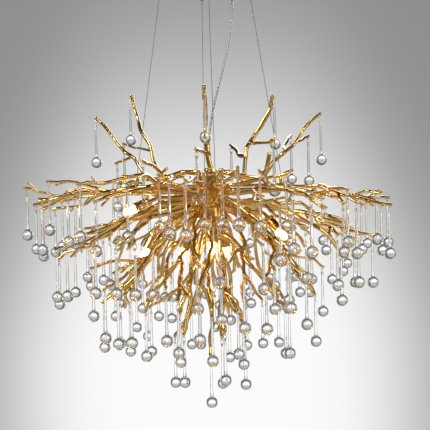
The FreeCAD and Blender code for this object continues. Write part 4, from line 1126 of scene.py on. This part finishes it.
@dataclass
class Studio:
    """Camera, soft lights, a pale floor far below, and the pale backdrop.

    The world has three faces: the camera sees the backdrop, metal and glass see pale walls on
    four sides with dark gaps between them, and everything else gets an even daylight.
    """

    distance: float = 1.8
    eye_level: float = -0.671
    aim: tuple = (0.0, 0.0, -0.6)
    lens: float = 68.56
    roll: float = -0.0245
    shift: tuple = (0.0081, 0.1163)
    floor_level: float = -2.35
    floor_radius: float = 5.2
    daylight: tuple = (0.95, 0.96, 1.0, 1.0)
    daylight_strength: float = 0.55
    side_reach: float = 0.214
    side_power: float = 3.3
    lift_start: float = 0.125
    lift_reach: float = 0.349
    lift_power: float = 1.5
    white: float = 0.698
    grey: float = 0.272
    below_share: float = -1.05
    tilt: float = 0.1
    lamps: tuple = (
        ("key", (-1.5, -1.5, 0.7), 1.0, 42.0, (1.0, 0.98, 0.95)),
        ("fill", (1.7, -1.2, -0.1), 1.5, 16.0, (0.96, 0.98, 1.0)),
        ("rim", (0.4, 1.9, 0.5), 1.4, 22.0, (1.0, 1.0, 1.0)),
    )
    wall_glow: tuple = (0.72, 0.95, 0.07, 1.0)
    mirrored_share: float = 0.24
    through_shares: tuple = (-0.17, 0.14, 1.25, 0.4)

    def camera(self) -> None:
        """A level camera at the height of the crown."""
        data = bpy.data.cameras.new("camera")
        data.lens = self.lens
        data.sensor_width = 36.0
        data.sensor_fit = "HORIZONTAL"
        data.shift_x, data.shift_y = self.shift
        camera = bpy.data.objects.new("camera", data)
        camera.location = (0.0, -self.distance, self.eye_level)
        level = Matrix.Rotation(math.pi / 2, 4, "X")
        rolled = level @ Matrix.Rotation(self.roll, 4, "Z")
        camera.rotation_euler = rolled.to_euler()
        bpy.context.scene.collection.objects.link(camera)
        bpy.context.scene.camera = camera

    def lamp(self, name: str, place: tuple, size: float, power: float, tone: tuple) -> None:
        """One soft square light, aimed at the crown.

        Args:
            name: Its name.
            place: Where it stands.
            size: The length of its side.
            power: Its power in watts.
            tone: Its colour.
        """
        data = bpy.data.lights.new(name, "AREA")
        data.shape = "SQUARE"
        data.size = size
        data.energy = power
        data.color = tone
        light = bpy.data.objects.new(name, data)
        light.location = place
        aim = Vector(self.aim) - Vector(place)
        light.rotation_euler = aim.to_track_quat("-Z", "Y").to_euler()
        light.visible_camera = False
        light.visible_transmission = False
        bpy.context.scene.collection.objects.link(light)

    def floor(self) -> None:
        """A pale round floor."""
        form = Form("floor")
        form.lathe([(0.0, 0.0), (self.floor_radius, 0.0)],
                   Matrix.Translation((0, 0, self.floor_level)), 96)
        paint = Paint("floor_paint")
        grain = paint.grain(3.0, 4.0)
        paint.tint(grain, (0.3, (0.72, 0.71, 0.7)), (0.7, (0.78, 0.77, 0.76)))
        paint.rough(grain, 0.6, 0.8)
        ground = form.object([paint.material])
        ground.visible_transmission = False

    def world(self) -> None:
        """A backdrop that is white low in the middle and grey towards the upper corners."""
        world = bpy.data.worlds.new("studio")
        bpy.context.scene.world = world
        world.use_nodes = True
        nodes, links = world.node_tree.nodes, world.node_tree.links
        nodes.clear()

        def calc(operation: str, *values: object) -> bpy.types.NodeSocket:
            """One step of arithmetic; numbers are set and sockets are linked."""
            node = nodes.new("ShaderNodeMath")
            node.operation = operation
            for index, value in enumerate(values):
                if isinstance(value, (int, float)):
                    node.inputs[index].default_value = value
                else:
                    links.new(value, node.inputs[index])
            return node.outputs["Value"]

        def ramp(value: bpy.types.NodeSocket, limits: tuple) -> bpy.types.NodeSocket:
            """A soft step from one level to another."""
            node = nodes.new("ShaderNodeMapRange")
            node.interpolation_type = "SMOOTHSTEP"
            links.new(value, node.inputs["Value"])
            for name, limit in zip(("From Min", "From Max", "To Min", "To Max"), limits):
                node.inputs[name].default_value = limit
            return node.outputs["Result"]

        split = nodes.new("ShaderNodeSeparateXYZ")
        links.new(nodes.new("ShaderNodeTexCoord").outputs["Generated"], split.inputs["Vector"])
        across, ahead, rise = (split.outputs[axis] for axis in "XYZ")
        azimuth = calc("ARCTAN2", across, ahead)
        side = calc("ABSOLUTE", calc("DIVIDE", calc("SINE", calc("MULTIPLY", azimuth, 4.0)), 4.0))
        level = calc("SQRT", calc("ADD", calc("MULTIPLY", across, across),
                                  calc("MULTIPLY", ahead, ahead)))
        slope = calc("DIVIDE", rise, calc("MAXIMUM", level, 0.05))
        lift = calc("MAXIMUM", calc("ADD", slope, self.lift_start), 0.0)
        wide = calc("POWER", calc("DIVIDE", side, self.side_reach), self.side_power)
        tall = calc("POWER", calc("DIVIDE", lift, self.lift_reach), self.lift_power)
        far = calc("ADD", wide, tall)
        fade = calc("POWER", math.e, calc("MULTIPLY", calc("MULTIPLY", far, far), -1.0))
        shade = calc("ADD", calc("MULTIPLY", fade, self.white), self.grey)
        seen = nodes.new("ShaderNodeBackground")
        tone = nodes.new("ShaderNodeCombineColor")
        for socket in tone.inputs[:3]:
            links.new(shade, socket)
        links.new(tone.outputs["Color"], seen.inputs["Color"])
        light = nodes.new("ShaderNodeBackground")
        light.inputs["Color"].default_value = self.daylight
        light.inputs["Strength"].default_value = self.daylight_strength
        facing = calc("MAXIMUM", calc("ABSOLUTE", ahead), calc("ABSOLUTE", across))
        facing = calc("MAXIMUM", facing, calc("MULTIPLY", rise, self.below_share))
        wall = ramp(calc("ADD", facing, calc("MULTIPLY", rise, self.tilt)), self.wall_glow)
        path = nodes.new("ShaderNodeLightPath")
        mirrored, through = (path.outputs[f"Is {kind} Ray"] for kind in ("Glossy", "Transmission"))
        power = calc("ADD", calc("MULTIPLY", through, ramp(slope, self.through_shares)),
                     calc("MULTIPLY", mirrored, self.mirrored_share))
        room = nodes.new("ShaderNodeBackground")
        links.new(calc("MULTIPLY", wall, power), room.inputs["Strength"])
        shader = light.outputs["Background"]
        for ray, other in ((calc("MAXIMUM", mirrored, through), room),
                           (path.outputs["Is Camera Ray"], seen)):
            mix = nodes.new("ShaderNodeMixShader")
            links.new(ray, mix.inputs["Fac"])
            links.new(shader, mix.inputs[1])
            links.new(other.outputs["Background"], mix.inputs[2])
            shader = mix.outputs["Shader"]
        out = nodes.new("ShaderNodeOutputWorld")
        links.new(shader, out.inputs["Surface"])

    def build(self) -> None:
        """Sets the whole studio up."""
        self.camera()
        self.floor()
        self.world()
        for lamp in self.lamps:
            self.lamp(*lamp)
        bpy.context.scene.view_settings.view_transform = "Standard"


def main() -> None:
    """Builds the camera and cords first, then every other sub-assembly in order."""
    logging.basicConfig(level=logging.INFO, format="%(name)s: %(message)s")
    finishes = Finishes()
    Studio().build()
    Lines(finishes).build()
    drops = GlassDrops(finishes)
    drops.build()
    Branches(finishes, drops.tops).build()
    Lamps(finishes).build()
    Ceiling(finishes).build()
    Dressing(finishes).build()


if __name__ == "__main__":
    main()
